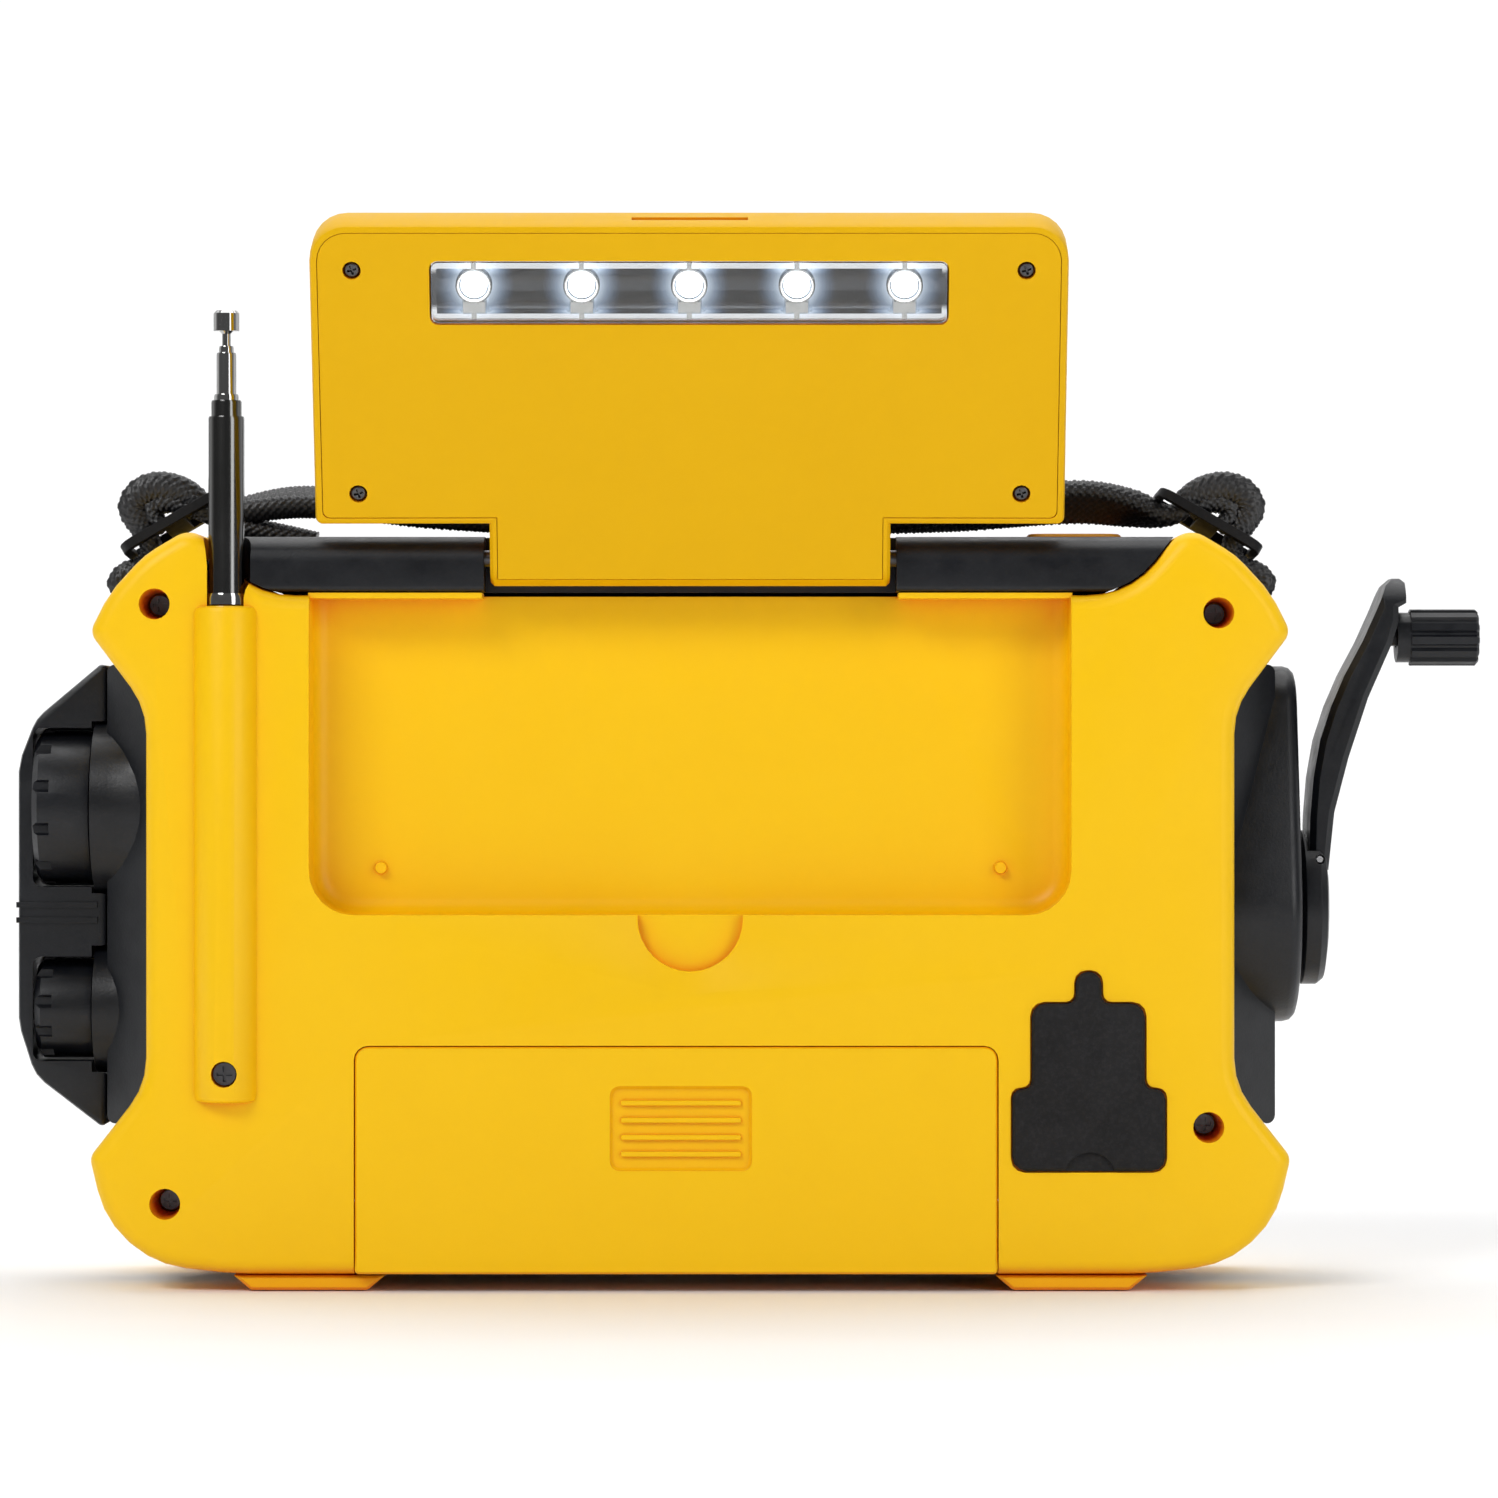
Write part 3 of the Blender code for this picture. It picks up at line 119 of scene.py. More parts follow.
def smooth_route(points, per_span):
    """A smooth curve through points, each a tuple of numbers."""
    ends = [points[0]] + list(points) + [points[-1]]
    route = []
    for i in range(1, len(ends) - 2):
        p0, p1, p2, p3 = (Vector(p) for p in ends[i - 1 : i + 3])
        for k in range(per_span):
            t = k / per_span
            cubic = 3 * p1 - p0 - 3 * p2 + p3
            square = 2 * p0 - 5 * p1 + 4 * p2 - p3
            route.append(0.5 * (2 * p1 + (p2 - p0) * t + square * t**2 + cubic * t**3))
    return route + [Vector(points[-1])]


def even(route, step):
    """The route at equal steps of its first two coordinates' length, with the length run so far."""
    marks = [0.0]
    for a, b in zip(route, route[1:]):
        marks.append(marks[-1] + hypot(b[0] - a[0], b[1] - a[1]))
    count = max(2, round(marks[-1] / step))
    result = []
    i = 0
    for k in range(count + 1):
        s = marks[-1] * k / count
        while i < len(marks) - 2 and marks[i + 1] < s:
            i += 1
        t = (s - marks[i]) / max(1e-9, marks[i + 1] - marks[i])
        result.append((s, route[i].lerp(route[i + 1], min(1.0, max(0.0, t)))))
    return result


# The strap ----------------------------------------------------------------------------------------

STRAP_Y = 1.8
STRAP_WIDE = 8.6
# Over the left half, from its bar to the middle of the case: x, z, tilt in degrees, thickness.
STRAP_ROUTE = [
    (-104.8, 126.2, 0, 3.4), (-105.9, 128.2, 0, 4.0), (-104.4, 129.9, 0, 4.4), (-101.6, 131.1, 0, 4.2),
    (-99.9, 133.4, 0, 3.6), (-100.5, 136.6, 0, 3.8), (-102.2, 139.6, 0, 4.8), (-103.2, 142.3, 0, 5.4),
    (-101.6, 144.9, 0, 5.6), (-98.4, 146.0, 0, 5.6), (-94.6, 145.4, 0, 5.2), (-91.6, 143.8, 0, 4.2),
    (-90.0, 141.4, 0, 3.6), (-86.6, 140.8, 2, 3.9), (-81.0, 142.2, 14, 4.2), (-72.0, 143.3, 22, 4.2),
    (-60.0, 142.4, 18, 4.0), (-48.0, 140.4, 6, 3.7), (-30.0, 139.2, 0, 3.6), (-10.0, 139.2, 0, 3.6),
]
RIGHT_TILT = 2.4  # the right half is turned this many times further
BRAID_PITCH = 1.5
BRAID_RELIEF = 0.66
EDGE_STEPS = 15
EDGE_BULGE = 0.7  # how far an edge bulges out, as a share of half the thickness


def webbing(name, points, wide, y=STRAP_Y):
    """A braided tape along points of (x, z, tilt, thickness), its strands' bumps as real relief."""
    route = even(smooth_route(points, 8), BRAID_PITCH / 5)
    thick = sum(p[3] for p in points) / len(points)
    half, edge = wide / 2, thick / 2
    bulge = edge * EDGE_BULGE
    flat = half - bulge
    outline = []
    across = max(4, round(2 * flat / (BRAID_PITCH / 3.5)))
    for k in range(across + 1):
        outline.append((-flat + 2 * flat * k / across, edge, 0.0, 1.0))
    for k in range(1, EDGE_STEPS):
        a = pi / 2 - pi * k / EDGE_STEPS
        outline.append((flat + bulge * cos(a), edge * sin(a), cos(a), sin(a)))
    for k in range(across + 1):
        outline.append((flat - 2 * flat * k / across, -edge, 0.0, -1.0))
    for k in range(1, EDGE_STEPS):
        a = -pi / 2 - pi * k / EDGE_STEPS
        outline.append((-flat + bulge * cos(a), edge * sin(a), cos(a), sin(a)))
    marks = [0.0]
    for a, b in zip(outline, outline[1:] + outline[:1]):
        marks.append(marks[-1] + hypot(b[0] - a[0], b[1] - a[1]))
    strands = 2 * round(marks[-1] / BRAID_PITCH / 2)
    work = bmesh.new()
    rings = []
    last = len(route) - 1
    for i, (s, p) in enumerate(route):
        ahead = route[min(i + 1, last)][1] - route[max(i - 1, 0)][1]
        normal = Vector((-ahead.y, ahead.x)).normalized()
        c, d = cos(radians(p[2])), sin(radians(p[2]))
        ring = []
        for k, (u, w, nu, nw) in enumerate(outline):
            turn = marks[k] / marks[-1] * strands
            row = s / BRAID_PITCH
            # Two families of strands that cross, one over the other in turn.
            first = sin(pi * (turn + row)) * sin(pi * (turn - row))
            relief = BRAID_RELIEF * (abs(first) ** 0.6 - 0.75)
            u, w = u + nu * relief, w * p[3] / thick + nw * relief
            side, up = u * c - w * d, u * d + w * c
            ring.append(at(p[0] + normal.x * up, y + side, p[1] + normal.y * up))
        rings.append(ring)
    loft(work, rings)
    return add(name, work)


def strap():
    """The carrying strap: one loose tape from ear to ear, through both sliders."""
    right = [(-x, z, -tilt * RIGHT_TILT, thick) for x, z, tilt, thick in reversed(STRAP_ROUTE)]
    points = STRAP_ROUTE + right
    made = webbing("strap_webbing", points, STRAP_WIDE)
    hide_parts("strap")
    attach(made, "case")
    return made


strap_piece = strap()
# The loose end that comes back through the left slider.
tail_left = webbing("strap_tail_left", [
    (-93.6, 141.9, 0, 2.4), (-90.0, 141.0, 0, 2.8), (-86.6, 139.8, 4, 3.0), (-82.8, 138.8, 8, 3.0),
    (-76.0, 137.4, 8, 3.0), (-69.4, 136.2, 4, 2.8)], 8.2, STRAP_Y + 0.3)
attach(tail_left, "case")


def fold(name, side):
    """The second layer of the tape, inside the loop above a slider."""
    points = [(-97.4, 138.4, 2.8), (-99.4, 140.4, 3.2), (-99.4, 142.2, 3.4), (-97.2, 143.2, 3.6),
              (-94.6, 142.8, 3.4), (-92.2, 141.2, 2.8)]
    made = webbing(name, [(-side * x, z, 0, thick) for x, z, thick in points], 8.0)
    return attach(made, "case")


folds = [fold("strap_fold_left", -1), fold("strap_fold_right", 1)]


# The lamp panel's frame ---------------------------------------------------------------------------

HINGE = Vector((0.0, -25.0, 132.0))
LEAN = Matrix.Rotation(radians(20), 3, "X")
LED_ROW = 51.9
LED_PITCH = 19.1
LENS_TOP, LENS_FOOT = 56.3, 45.8
CHANNEL = 51.0  # the middle line of the reflector's half round channel
LEDS = [i * LED_PITCH for i in range(-2, 3)]


def on_panel(x, y, z):
    """A point of the row frame from the lamp panel's own millimetres: along it, through it, up it."""
    p = HINGE + LEAN @ Vector((x, y, z))
    return at(*p)


LED_HEIGHT = on_panel(0.0, -2.4, LED_ROW).z
CHANNEL_HEIGHT = on_panel(0.0, -2.0, CHANNEL).z


# Materials ----------------------------------------------------------------------------------------

class Shader:
    """A material's node tree, built one node at a time. A value is a socket to link or a constant."""

    def __init__(self, name):
        self.material = bpy.data.materials.new(name)
        self.material.use_nodes = True
        self.tree = self.material.node_tree
        self.tree.nodes.clear()
        self.point = self.node("ShaderNodeTexCoord").outputs["Object"]

    def node(self, kind, fields=None, **sockets):
        made = self.tree.nodes.new(kind)
        for key, value in (fields or {}).items():
            setattr(made, key, value)
        for key, value in sockets.items():
            self.put(made.inputs[key.replace("_", " ")], value)
        return made

    def put(self, socket, value):
        if isinstance(value, bpy.types.NodeSocket):
            self.tree.links.new(value, socket)
        elif isinstance(value, tuple) and len(value) == 3 and socket.type == "RGBA":
            socket.default_value = (*value, 1.0)
        else:
            socket.default_value = value

    def noise(self, size, detail=3.0, rough=0.5, stretch=None):
        """Noise of this size in metres, from 0 to 1, smaller along an axis where stretch is larger."""
        point = self.point
        if stretch:
            point = self.node("ShaderNodeMapping", None, Vector=point, Scale=stretch).outputs["Vector"]
        made = self.node("ShaderNodeTexNoise", None, Vector=point, Scale=1 / size, Detail=detail,
                         Roughness=rough)
        return made.outputs["Fac"]

    def ramp(self, value, low, high, to_low=0.0, to_high=1.0):
        made = self.node("ShaderNodeMapRange", None, Value=value)
        for key, number in zip(("From Min", "From Max", "To Min", "To Max"), (low, high, to_low, to_high)):
            made.inputs[key].default_value = number
        return made.outputs["Result"]

    def math(self, kind, a, b):
        made = self.node("ShaderNodeMath", {"operation": kind})
        self.put(made.inputs[0], a)
        self.put(made.inputs[1], b)
        return made.outputs[0]

    def mix(self, share, a, b):
        made = self.node("ShaderNodeMix", {"data_type": "RGBA"})
        self.put(made.inputs[0], share)
        self.put(made.inputs[6], a)
        self.put(made.inputs[7], b)
        return made.outputs[2]

    def bump(self, height, depth, strength=1.0, under=None):
        """A bump of this depth in metres."""
        made = self.node("ShaderNodeBump", None, Height=height, Distance=depth, Strength=strength)
        if under is not None:
            self.put(made.inputs["Normal"], under)
        return made.outputs["Normal"]

    def edges(self, low=0.52, high=0.6):
        """1 on outer edges."""
        return self.ramp(self.node("ShaderNodeNewGeometry").outputs["Pointiness"], low, high)

    def hollow_shade_mask(self, reach, low=0.25, high=0.8):
        """1 in a hole or corner, 0 in the open: the mask for painted shade in hollows."""
        made = self.node("ShaderNodeAmbientOcclusion", {"samples": 4})
        made.inputs["Distance"].default_value = reach
        return self.ramp(made.outputs["AO"], low, high, 1.0, 0.0)

    def surface(self, colour, rough, normal=None, **constants):
        made = self.node("ShaderNodeBsdfPrincipled")
        self.put(made.inputs["Base Color"], colour)
        self.put(made.inputs["Roughness"], rough)
        if normal is not None:
            self.put(made.inputs["Normal"], normal)
        for key, value in constants.items():
            self.put(made.inputs[key.replace("_", " ")], value)
        out = self.node("ShaderNodeOutputMaterial")
        self.tree.links.new(made.outputs["BSDF"], out.inputs["Surface"])
        return self.material


def hard_plastic(name, colour, warm, hollow_shade_tint, rough, grain=0.00035, relief=0.00001, **constants):
    """Moulded plastic: a slight mottle, fine spark-eroded grain and painted shade, a dark orange, in hollows
    and corners.
    """
    s = Shader(name)
    mottle = s.ramp(s.noise(0.02, 4.0), 0.3, 0.7)
    tint = s.mix(s.math("MULTIPLY", mottle, 0.35), colour, warm)
    # Painted shade: hollows and corners are mixed towards a dark orange.
    tint = s.mix(s.math("MULTIPLY", s.hollow_shade_mask(0.006), 0.9), tint, hollow_shade_tint)
    shine = s.ramp(s.noise(0.006, 5.0, 0.6), 0.25, 0.75, rough - 0.04, rough + 0.06)
    fine = s.bump(s.noise(grain, 2.0), relief)
    wavy = s.bump(s.noise(0.03, 2.0), 0.00006, 0.35, fine)
    return s.surface(tint, shine, wavy, **constants)


def dark_plastic(name, colour, rough, grain, relief, dust=0.04, **constants):
    """Black moulding: grained, a little grey where it is handled, and dusty in places."""
    s = Shader(name)
    speck = s.ramp(s.noise(0.0007, 4.0, 0.7), 0.45, 0.8)
    cloud = s.ramp(s.noise(0.012, 4.0), 0.35, 0.75)
    grey = tuple(c * 2.6 + 0.004 for c in colour)
    tint = s.mix(s.math("MULTIPLY", cloud, 0.3), colour, grey)
    tint = s.mix(s.math("MULTIPLY", speck, dust), tint, (0.22, 0.22, 0.23))
    shine = s.ramp(s.noise(0.004, 4.0, 0.6), 0.3, 0.7, rough - 0.05, rough + 0.08)
    return s.surface(tint, shine, s.bump(s.noise(grain, 3.0, 0.6), relief), **constants)


def metal(name, colour, rough, stretch, streak=0.05, relief=0.000004, **constants):
    """Metal with fine lines along one axis, faint smears and duller spots."""
    s = Shader(name)
    lines = s.noise(0.0006, 3.0, 0.6, stretch)
    smear = s.ramp(s.noise(0.009, 4.0, 0.6), 0.4, 0.75)
    tint = s.mix(s.ramp(lines, 0.3, 0.7, 0.0, 0.5), colour, tuple(c * 0.82 for c in colour))
    shine = s.math("ADD", s.ramp(lines, 0.2, 0.8, rough, rough + streak), s.math("MULTIPLY", smear, 0.06))
    return s.surface(tint, shine, s.bump(lines, relief), Metallic=1.0, **constants)


def lamp_metal(name):
    """Bright metal behind the lamps, with a painted reflection, pale along its edges and dark in its
    channel, and a painted glow round each lamp.
    """
    s = Shader(name)
    parts = s.node("ShaderNodeSeparateXYZ", None, Vector=s.point).outputs
    place = s.math("ADD", s.math("DIVIDE", s.math("SUBTRACT", parts["X"], SHIFT.x), LED_PITCH * MM), 0.5)
    turn = s.math("FRACT", s.math("ADD", place, 4.0), 0.0)
    aside = s.math("MULTIPLY", s.math("SUBTRACT", turn, 0.5), LED_PITCH * MM)
    above = s.math("SUBTRACT", parts["Z"], LED_HEIGHT)
    away = s.math("SQRT", s.math("ADD", s.math("POWER", s.math("ABSOLUTE", aside, 0.0), 2.0),
                                        s.math("POWER", s.math("ABSOLUTE", above, 0.0), 2.0)), 0.0)
    # Painted reflection: the metal is pale near the channel's edges and dark along its middle.
    middle = s.math("SUBTRACT", parts["Z"], CHANNEL_HEIGHT)
    rim = s.ramp(s.math("ABSOLUTE", middle, 0.0), 0.0026, 0.0036)
    lines = s.noise(0.0006, 3.0, 0.6, (0.05, 1.0, 1.0))
    tint = s.mix(rim, (0.05, 0.052, 0.058), (0.72, 0.73, 0.76))
    made = s.surface(tint, s.ramp(lines, 0.2, 0.8, 0.08, 0.16), s.bump(lines, 0.000004), Metallic=1.0)
    shader = next(n for n in s.tree.nodes if n.type == "BSDF_PRINCIPLED")
    # Painted light: a bluish glow, by emission, on the metal round each lamp.
    glow = s.math("POWER", s.ramp(away, 0.0024, 0.0075, 1.0, 0.0), 2.0)
    s.put(shader.inputs["Emission Color"], s.mix(glow, (0.45, 0.66, 1.0), (0.85, 0.93, 1.0)))
    s.put(shader.inputs["Emission Strength"], s.math("MULTIPLY", glow, 0.9))
    return made


def clear(name):
    """Polished clear plastic with a faint haze, moulding waves and hairline scratches."""
    s = Shader(name)
    scratch = s.ramp(s.noise(0.0005, 2.0, 0.5, (1.0, 1.0, 14.0)), 0.68, 0.74)
    haze = s.ramp(s.noise(0.008, 3.0), 0.35, 0.8, 0.02, 0.07)
    tint = s.mix(s.ramp(s.noise(0.02), 0.3, 0.7), (0.98, 0.99, 0.99), (0.94, 0.96, 0.96))
    shine = s.math("ADD", haze, s.math("MULTIPLY", scratch, 0.12))
    return s.surface(tint, shine, s.bump(s.noise(0.01, 1.0), 0.00002), Transmission_Weight=1.0, IOR=1.49)


def solar(name, low, high):
    """Dark blue cells between two corners: strips with a gap, fine silver fingers and two bus bars each."""
    s = Shader(name)
    parts = s.node("ShaderNodeSeparateXYZ", None, Vector=s.point).outputs
    width = (high.x - low.x) / 8

    def near(value, pitch, share):
        wave = s.math("FRACT", s.math("DIVIDE", s.math("SUBTRACT", value, low.x), pitch), 0.0)
        return s.ramp(s.math("ABSOLUTE", s.math("SUBTRACT", wave, 0.5), 0.0), 0.5 - share, 0.5 - share * 0.8)

    gap = near(parts["X"], width, 0.035)
    bus = near(parts["X"], width / 2, 0.03)
    finger = near(parts["Z"], 0.0016, 0.10)
    crystal = s.node("ShaderNodeTexVoronoi", None, Vector=s.point, Scale=160.0).outputs["Color"]
    blue = s.mix(s.ramp(crystal, 0.0, 1.0), (0.006, 0.013, 0.05), (0.012, 0.03, 0.10))
    tint = s.mix(s.math("MULTIPLY", finger, 0.35), blue, (0.35, 0.37, 0.42))
    tint = s.mix(bus, tint, (0.55, 0.56, 0.6))
    tint = s.mix(gap, tint, (0.004, 0.005, 0.012))
    shine = s.ramp(s.noise(0.01, 3.0), 0.3, 0.7, 0.22, 0.34)
    return s.surface(tint, shine, s.bump(finger, 0.00002), Coat_Weight=0.9, Coat_Roughness=0.06)


def board(name, mask, metal_tint):
    """A circuit board: solder mask, tracks under it and bare pads."""
    s = Shader(name)
    cells = s.node("ShaderNodeTexVoronoi", {"feature": "DISTANCE_TO_EDGE"}, Vector=s.point, Scale=260.0)
    tracks = s.ramp(cells.outputs["Distance"], 0.03, 0.07, 1.0, 0.0)
    spots = s.node("ShaderNodeTexVoronoi", None, Vector=s.point, Scale=420.0)
    pads = s.ramp(spots.outputs["Distance"], 0.14, 0.17, 1.0, 0.0)
    tint = s.mix(s.math("MULTIPLY", tracks, 0.5), mask, tuple(min(1.0, c * 1.9 + 0.01) for c in mask))
    tint = s.mix(pads, tint, metal_tint)
    weave = s.noise(0.0009, 2.0)
    return s.surface(tint, s.ramp(weave, 0.3, 0.7, 0.28, 0.42), s.bump(tracks, 0.00003), Coat_Weight=0.4)


def nylon(name):
    s = Shader(name)
    tint = s.mix(s.ramp(s.noise(0.01, 3.0), 0.3, 0.7), (0.80, 0.78, 0.70), (0.70, 0.67, 0.58))
    # Painted shade: hollows and corners are darkened to brown.
    tint = s.mix(s.math("MULTIPLY", s.hollow_shade_mask(0.002), 0.6), tint, (0.30, 0.26, 0.20))
    return s.surface(tint, s.ramp(s.noise(0.002), 0.3, 0.7, 0.35, 0.5), s.bump(s.noise(0.0006), 0.00001),
                     Subsurface_Weight=0.2, Subsurface_Scale=0.002)


def wrap(name):
    """A cell's printed film: bands of two plain tints, with a slight crinkle."""
    s = Shader(name)
    parts = s.node("ShaderNodeSeparateXYZ", None, Vector=s.point).outputs
    band = s.ramp(s.math("FRACT", s.math("MULTIPLY", parts["X"], 19.8), 0.0), 0.69, 0.70)
    tint = s.mix(band, (0.02, 0.09, 0.16), (0.62, 0.40, 0.10))
    tint = s.mix(s.ramp(s.noise(0.004, 3.0), 0.4, 0.7, 0.0, 0.2), tint, (0.3, 0.3, 0.3))
    crinkle = s.bump(s.noise(0.003, 3.0), 0.00004)
    return s.surface(tint, s.ramp(s.noise(0.003), 0.3, 0.7, 0.2, 0.32), crinkle, Coat_Weight=0.5)


def woven(name):
    """Black braid: strand bumps are in the mesh, so this adds filaments, sheen and painted highlights on the
    strands' tops.
    """
    s = Shader(name)
    filament = s.noise(0.00022, 3.0, 0.6, (1.0, 3.0, 1.0))
    crown_highlight = s.edges(0.49, 0.56)
    tint = s.mix(s.ramp(filament, 0.3, 0.7), (0.0015, 0.0015, 0.002), (0.008, 0.008, 0.009))
    # Painted highlight: the strands' tops are mixed towards grey.
    tint = s.mix(s.math("MULTIPLY", crown_highlight, 0.35), tint, (0.06, 0.06, 0.065))
    return s.surface(tint, s.ramp(filament, 0.3, 0.7, 0.28, 0.46), s.bump(filament, 0.00003),
                     Specular_IOR_Level=0.6)


# For the hard plastics the third colour is the dark orange of the painted shade in hollows and corners.
LOOKS = {
    "yellow_plastic": hard_plastic("yellow_plastic", (0.95, 0.57, 0.002), (0.93, 0.535, 0.001),
                                   (0.84, 0.21, 0.003), 0.40, Specular_IOR_Level=0.25),
    "panel_plastic": hard_plastic("panel_plastic", (0.78, 0.44, 0.0), (0.75, 0.41, 0.0),
                                  (0.72, 0.18, 0.001), 0.46, Specular_IOR_Level=0.14),
    "orange_plastic": hard_plastic("orange_plastic", (0.82, 0.36, 0.02), (0.84, 0.40, 0.02),
                                   (0.70, 0.12, 0.01), 0.4),
    "black_plastic": dark_plastic("black_plastic", (0.0025, 0.0032, 0.0052), 0.36, 0.0005, 0.00003, 0.015,
                                  Specular_IOR_Level=0.4),
    "slider_plastic": dark_plastic("slider_plastic", (0.003, 0.003, 0.004), 0.5, 0.0005, 0.00003, 0.02,
                                   Specular_IOR_Level=0.22),
    "rubber": dark_plastic("rubber", (0.008, 0.008, 0.009), 0.7, 0.0006, 0.00008, 0.05,
                           Specular_IOR_Level=0.25),
    "chrome": metal("chrome", (0.48, 0.48, 0.475), 0.06, (1.0, 1.0, 0.02), 0.03, 0.000001),
    "dark_chrome": metal("dark_chrome", (0.13, 0.13, 0.128), 0.13, (1.0, 1.0, 0.02), 0.05, 0.000001),
    "lamp_metal": lamp_metal("lamp_metal"),
    "steel": metal("steel", (0.60, 0.60, 0.61), 0.24, (0.05, 1.0, 1.0)),
    "black_steel": metal("black_steel", (0.10, 0.10, 0.105), 0.28, (1.0, 1.0, 1.0), 0.1),
    "clear_plastic": clear("clear_plastic"),
    "solar_cell": solar("solar_cell", *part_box("solar_plate")),
    "circuit_board": board("circuit_board", (0.01, 0.09, 0.03), (0.75, 0.55, 0.22)),
    "lamp_board": board("lamp_board", (0.75, 0.76, 0.74), (0.7, 0.7, 0.72)),
    "nylon": nylon("nylon"),
    "ferrite": dark_plastic("ferrite", (0.03, 0.029, 0.030), 0.55, 0.0008, 0.00005),
    "cell_wrap": wrap("cell_wrap"),
    "webbing": woven("webbing"),
}


# Dressing the CAD nodes ---------------------------------------------------------------------------

SMOOTH_BELOW = 33.0  # degrees between two CAD faces
SHARP_ABOVE = 35.0  # degrees, for the scene's own pieces and for the edges that are rounded
WELD_WITHIN = 0.000004
FLAT_WITHIN = 0.4  # degrees
SLIVER = 4e-8  # twice the area, in square metres, below which a face isn't looked at
SLACK = 0.00005


def weld_group():
    """A geometry group that joins a node's loose triangles and shades it smooth up to a set angle."""
    group = bpy.data.node_groups.new("weld_and_shade", "GeometryNodeTree")
    group.interface.new_socket("Geometry", in_out="INPUT", socket_type="NodeSocketGeometry")
    group.interface.new_socket("Geometry", in_out="OUTPUT", socket_type="NodeSocketGeometry")
    nodes, links = group.nodes, group.links
    start, end = nodes.new("NodeGroupInput"), nodes.new("NodeGroupOutput")
    bare = nodes.new("GeometryNodeRemoveAttribute")
    bare.inputs["Name"].default_value = "custom_normal"
    weld = nodes.new("GeometryNodeMergeByDistance")
    weld.inputs["Distance"].default_value = WELD_WITHIN
    faces = nodes.new("GeometryNodeSetShadeSmooth")
    faces.domain = "FACE"
    faces.inputs["Shade Smooth"].default_value = True
    edges = nodes.new("GeometryNodeSetShadeSmooth")
    edges.domain = "EDGE"
    angle = nodes.new("GeometryNodeInputMeshEdgeAngle")
    small = nodes.new("FunctionNodeCompare")
    small.data_type = "FLOAT"
    small.operation = "LESS_THAN"
    small.inputs[1].default_value = radians(SMOOTH_BELOW)
    links.new(angle.outputs["Unsigned Angle"], small.inputs[0])
    links.new(small.outputs[0], edges.inputs["Shade Smooth"])
    for a, b in ((start, bare), (bare, weld), (weld, faces), (faces, edges), (edges, end)):
        links.new(a.outputs[0], b.inputs[0])
    return group


WELD = weld_group()


def triangles(node):
    """The corners of a node's triangles after its modifiers."""
    bpy.context.view_layer.update()
    made = node.evaluated_get(bpy.context.evaluated_depsgraph_get())
    mesh = made.to_mesh()
    mesh.calc_loop_triangles()
    points = [v.co.copy() for v in mesh.vertices]
    corners = [tuple(t.vertices) for t in mesh.loop_triangles]
    made.to_mesh_clear()
    return points, corners


def torn(plain, rounded, slack):
    """True if the rounded mesh strays from the plain one, as it does where a face is badly filled."""
    tree = BVHTree.FromPolygons(*plain)
    points, corners = rounded
    for a, b, c in corners:
        p, q, r = points[a], points[b], points[c]
        if (q - p).cross(r - p).length > SLIVER:
            distance = tree.find_nearest((p + q + r) / 3)[3]
            if distance is None or distance > slack:
                return True
    return False


# Nodes whose finish differs from the rest of their slot.
SPECIAL = {
    "lamp_reflector": "lamp_metal", "panel_hinge_pin": "black_steel", "aerial_section_1": "dark_chrome",
    "aerial_section_2": "dark_chrome", "strap_slider_left": "slider_plastic",
    "strap_slider_right": "slider_plastic",
}


def dress(name, width):
    """Gives a CAD node its finish, smooth shading, and small round edges of this width in millimetres."""
    node = NODES[name]
    for place in node.material_slots:
        look = SPECIAL.get(name, place.material.name.split(".")[0] if place.material else "")
        if look in LOOKS:
            place.material = LOOKS[look]
    shade = node.modifiers.new("weld_and_shade", "NODES")
    shade.node_group = WELD
    if width:
        plain = triangles(node)
        flat = node.modifiers.new("flat_faces", "DECIMATE")
        flat.decimate_type = "DISSOLVE"
        flat.angle_limit = radians(FLAT_WITHIN)
        edge = node.modifiers.new("round_edges", "BEVEL")
        edge.width = width * MM
        edge.segments = 2
        edge.limit_method = "ANGLE"
        edge.angle_limit = radians(SHARP_ABOVE)
        edge.harden_normals = True
        edge.use_clamp_overlap = True
        edge.miter_outer = "MITER_ARC"
        if torn(plain, triangles(node), width * MM + SLACK):
            print("left square:", name)
            node.modifiers.remove(edge)
            node.modifiers.remove(flat)


EDGE_WIDTH = {
    "rear_shell": 0.25, "middle_case": 0.25, "front_frame": 0.3, "front_panel": 0.2, "side_panel_left": 0.25,
    "side_panel_right": 0.25, "knob_guard": 0.3, "tuning_knob": 0.2, "volume_knob": 0.2, "crank_arm": 0.3,
    "crank_hub": 0.2, "crank_grip": 0.15, "panel_cover": 0.2, "panel_housing": 0.25, "battery_door": 0.2,
    "port_cover": 0.3, "light_button": 0.3, "foot_left": 0.2, "foot_right": 0.2, "strap_slider_left": 0.3,
    "strap_slider_right": 0.3, "lamp_lens": 0.1, "front_key_1": 0.2, "front_key_2": 0.2, "port_block": 0.15,
}
for node_name in sorted(NODES):
    dress(node_name, EDGE_WIDTH.get(node_name, 0.0))


# The lamp -----------------------------------------------------------------------------------------

def panel_ring(x, z, radius, depth, count=28):
    """A circle of points on the lamp panel, at this depth through it."""
    turns = [2 * pi * k / count for k in range(count)]
    return [on_panel(x + radius * cos(a), depth, z + radius * sin(a)) for a in turns]


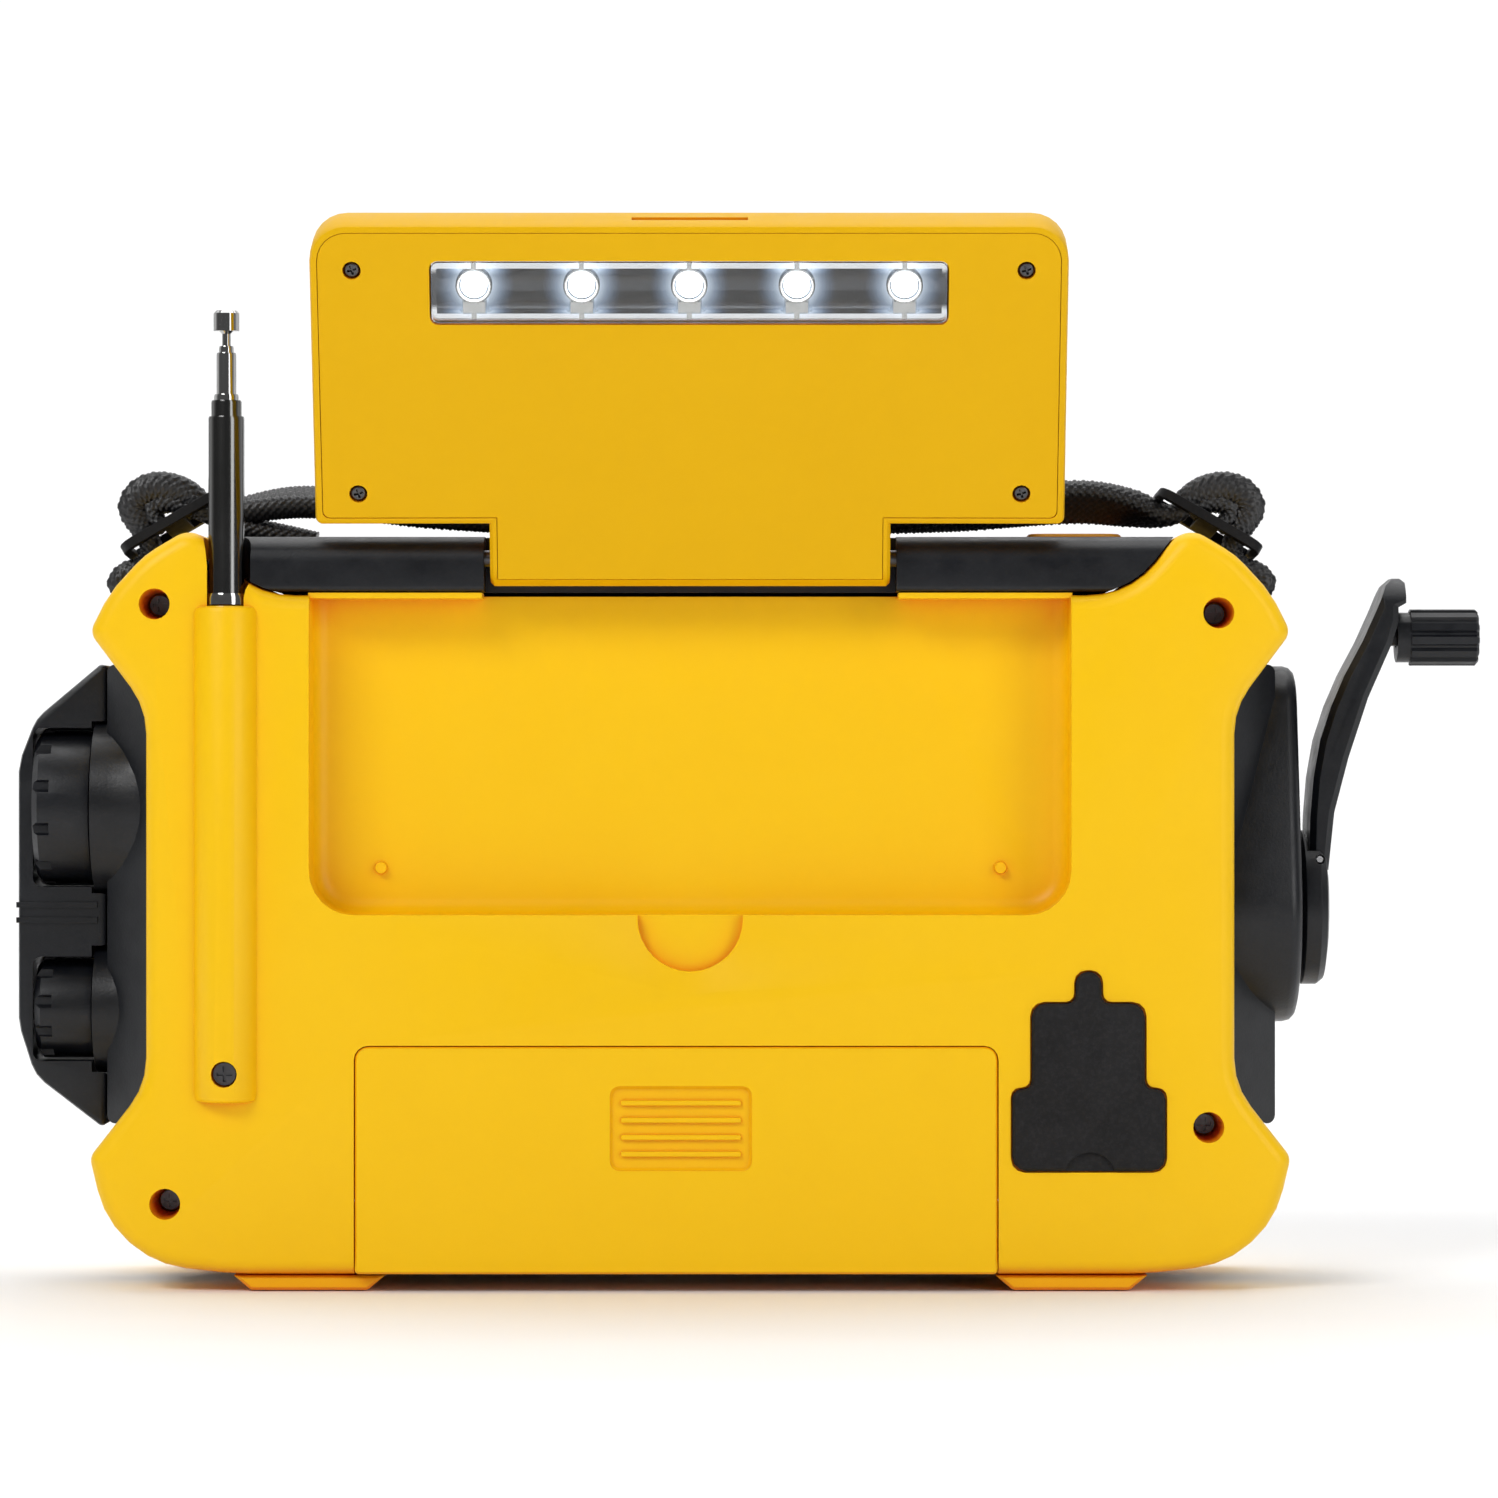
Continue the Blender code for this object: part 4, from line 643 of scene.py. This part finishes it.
def glowing(name):
    """A lit white lamp: hottest in the middle of its dome, cooler at the rim."""
    s = Shader(name)
    facing = s.node("ShaderNodeLayerWeight", None, Blend=0.35).outputs["Facing"]
    core = s.ramp(facing, 0.0, 0.9, 1.0, 0.0)
    tint = s.mix(core, (0.55, 0.72, 1.0), (1.0, 1.0, 1.0))
    s.surface((0.8, 0.84, 0.9), s.ramp(s.noise(0.002), 0.3, 0.7, 0.1, 0.2))
    shader = next(n for n in s.tree.nodes if n.type == "BSDF_PRINCIPLED")
    s.put(shader.inputs["Emission Color"], tint)
    shader.inputs["Emission Strength"].default_value = 5.0
    return s.material


def lamps():
    glow = glowing("lamp_glow")
    dome = [(2.35, -1.7), (2.35, -2.2), (2.2, -2.7), (1.85, -3.15), (1.3, -3.5), (0.7, -3.68), (0.02, -3.72)]
    for number, x in enumerate(LEDS, 1):
        work = bmesh.new()
        loft(work, [panel_ring(x, LED_ROW, r, y) for r, y in dome])
        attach(add(f"led_{number}", work, glow), "lamp_panel")
        work = bmesh.new()
        collar = [(3.25, -1.2), (3.25, -2.9), (3.1, -3.15), (2.85, -3.15), (2.7, -2.9), (2.7, -1.2)]
        loft(work, [panel_ring(x, LED_ROW, r, y) for r, y in collar + collar[:1]], ends=False)
        # A saddle above and below each collar, with a thin rib along the middle of each.
        for low, high in ((LED_ROW + 3.0, LENS_TOP), (LENS_FOOT, LED_ROW - 3.0)):
            for half, depth in ((2.2, -2.7), (0.5, -3.3)):
                shape = [(-half, -1.0), (-half * 0.9, depth), (half * 0.9, depth), (half, -1.0)]
                loft(work, [[on_panel(x + u, y, z) for u, y in shape] for z in (low, high)])
        bmesh.ops.remove_doubles(work, verts=work.verts, dist=0.000001)
        made = add(f"led_collar_{number}", work, LOOKS["chrome"])
        made.data.set_sharp_from_angle(angle=radians(SHARP_ABOVE))
        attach(made, "lamp_panel")


lamps()


# Screw heads --------------------------------------------------------------------------------------

SCREW_TURN = 0.3  # how far the cross recesses are turned, in radians
PANEL_SCREWS = ((-59.7, 55.2), (59.7, 55.2), (-59.4, 13.8), (59.4, 13.8))


def cross_reach(angle, arm, half):
    """How far a cross of this arm length and half width reaches at an angle."""
    off = abs((angle + pi / 4) % (pi / 2) - pi / 4)
    return arm / cos(off) if sin(off) * arm <= half * cos(off) else half / sin(off)


def screw_head(name, x, z):
    """A domed head with a tapered cross recess."""
    count = 64
    turns = [2 * pi * k / count + SCREW_TURN for k in range(count)]
    rings = []
    for radius, depth in ((1.3, -3.4), (1.42, -3.5), (1.42, -4.2), (1.25, -4.5), (1.05, -4.62)):
        rings.append([on_panel(x + radius * cos(a), depth, z + radius * sin(a)) for a in turns])
    for arm, half, depth in ((0.85, 0.22, -4.62), (0.6, 0.14, -3.9)):
        reach = [cross_reach(a - SCREW_TURN, arm, half) for a in turns]
        rings.append([on_panel(x + r * cos(a), depth, z + r * sin(a)) for a, r in zip(turns, reach)])
    work = bmesh.new()
    loft(work, rings)
    made = add(name, work, LOOKS["black_steel"])
    made.data.set_sharp_from_angle(angle=radians(SHARP_ABOVE))
    return made


for screw_number, (screw_x, screw_z) in enumerate(PANEL_SCREWS, 1):
    head = screw_head(f"panel_screw_head_{screw_number}", screw_x, screw_z)
    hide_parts(f"panel_screw_{screw_number}")
    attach(head, "lamp_panel")


# The strap's finish -------------------------------------------------------------------------------

strap_piece.data.materials.append(LOOKS["webbing"])
for loose in [tail_left, *folds]:
    loose.data.materials.append(LOOKS["webbing"])


# Floor, backdrop and light ------------------------------------------------------------------------

SWEEP_AT, SWEEP_RADIUS, SWEEP_STEPS = 1.6, 0.9, 12
FLOOR_DROP = 0.0002  # keeps the floor off the feet's undersides


def paper(name):
    s = Shader(name)
    tint = s.mix(s.ramp(s.noise(0.3, 2.0), 0.3, 0.7), (0.97, 0.97, 0.972), (0.955, 0.955, 0.96))
    return s.surface(tint, 0.9, s.bump(s.noise(0.002, 2.0), 0.00005))


def floor():
    """A pale sweep: flat under the object, then curving up well behind it."""
    work = bmesh.new()
    line = [(-2.4, 0.0), (SWEEP_AT, 0.0)]
    for k in range(1, SWEEP_STEPS + 1):
        a = radians(90 * k / SWEEP_STEPS)
        line.append((SWEEP_AT + SWEEP_RADIUS * sin(a), SWEEP_RADIUS - SWEEP_RADIUS * cos(a)))
    line.append((SWEEP_AT + SWEEP_RADIUS, 2.6))
    rows = [[Vector((x, y, z - FLOOR_DROP)) for y, z in line] for x in (-3.2, 3.2)]
    loft(work, rows, closed=False, ends=False)
    add("floor", work, paper("floor_paper"), recalc=False)


def lamp(name, place, aim, size, power, tint=(1.0, 1.0, 1.0)):
    data = bpy.data.lights.new(name, "AREA")
    data.shape = "RECTANGLE"
    data.size, data.size_y = size
    data.energy = power
    data.color = tint
    made = bpy.data.objects.new(name, data)
    made.location = place
    made.rotation_euler = (Vector(aim) - Vector(place)).to_track_quat("-Z", "Y").to_euler()
    bpy.context.scene.collection.objects.link(made)


def world():
    """A white room, darker on the camera's side."""
    made = bpy.data.worlds.new("studio")
    made.use_nodes = True
    tree = made.node_tree
    coords = tree.nodes.new("ShaderNodeTexCoord")
    parts = tree.nodes.new("ShaderNodeSeparateXYZ")
    tree.links.new(coords.outputs["Generated"], parts.inputs[0])
    ramp = tree.nodes.new("ShaderNodeMapRange")
    for key, value in (("From Min", -0.1), ("From Max", 0.5), ("To Min", 0.12), ("To Max", 1.0)):
        ramp.inputs[key].default_value = value
    tree.links.new(parts.outputs["Y"], ramp.inputs["Value"])
    tree.links.new(ramp.outputs["Result"], tree.nodes["Background"].inputs["Strength"])
    tree.nodes["Background"].inputs["Color"].default_value = (1.0, 1.0, 1.0, 1.0)
    bpy.context.scene.world = made


floor()
world()
lamp("key_light", (-0.9, -1.3, 1.3), (0, 0, 0.08), (0.9, 0.6), 17.0)
lamp("fill_light", (1.1, -1.2, 0.6), (0, 0, 0.08), (0.6, 1.0), 7.5)
lamp("top_light", (0.0, 0.1, 1.5), (0, 0, 0.1), (1.4, 0.8), 8.0)
lamp("backdrop_light", (0.0, 1.2, 1.9), (0, 2.4, 0.5), (2.6, 0.6), 30.0)
bpy.context.scene.view_settings.view_transform = "Standard"
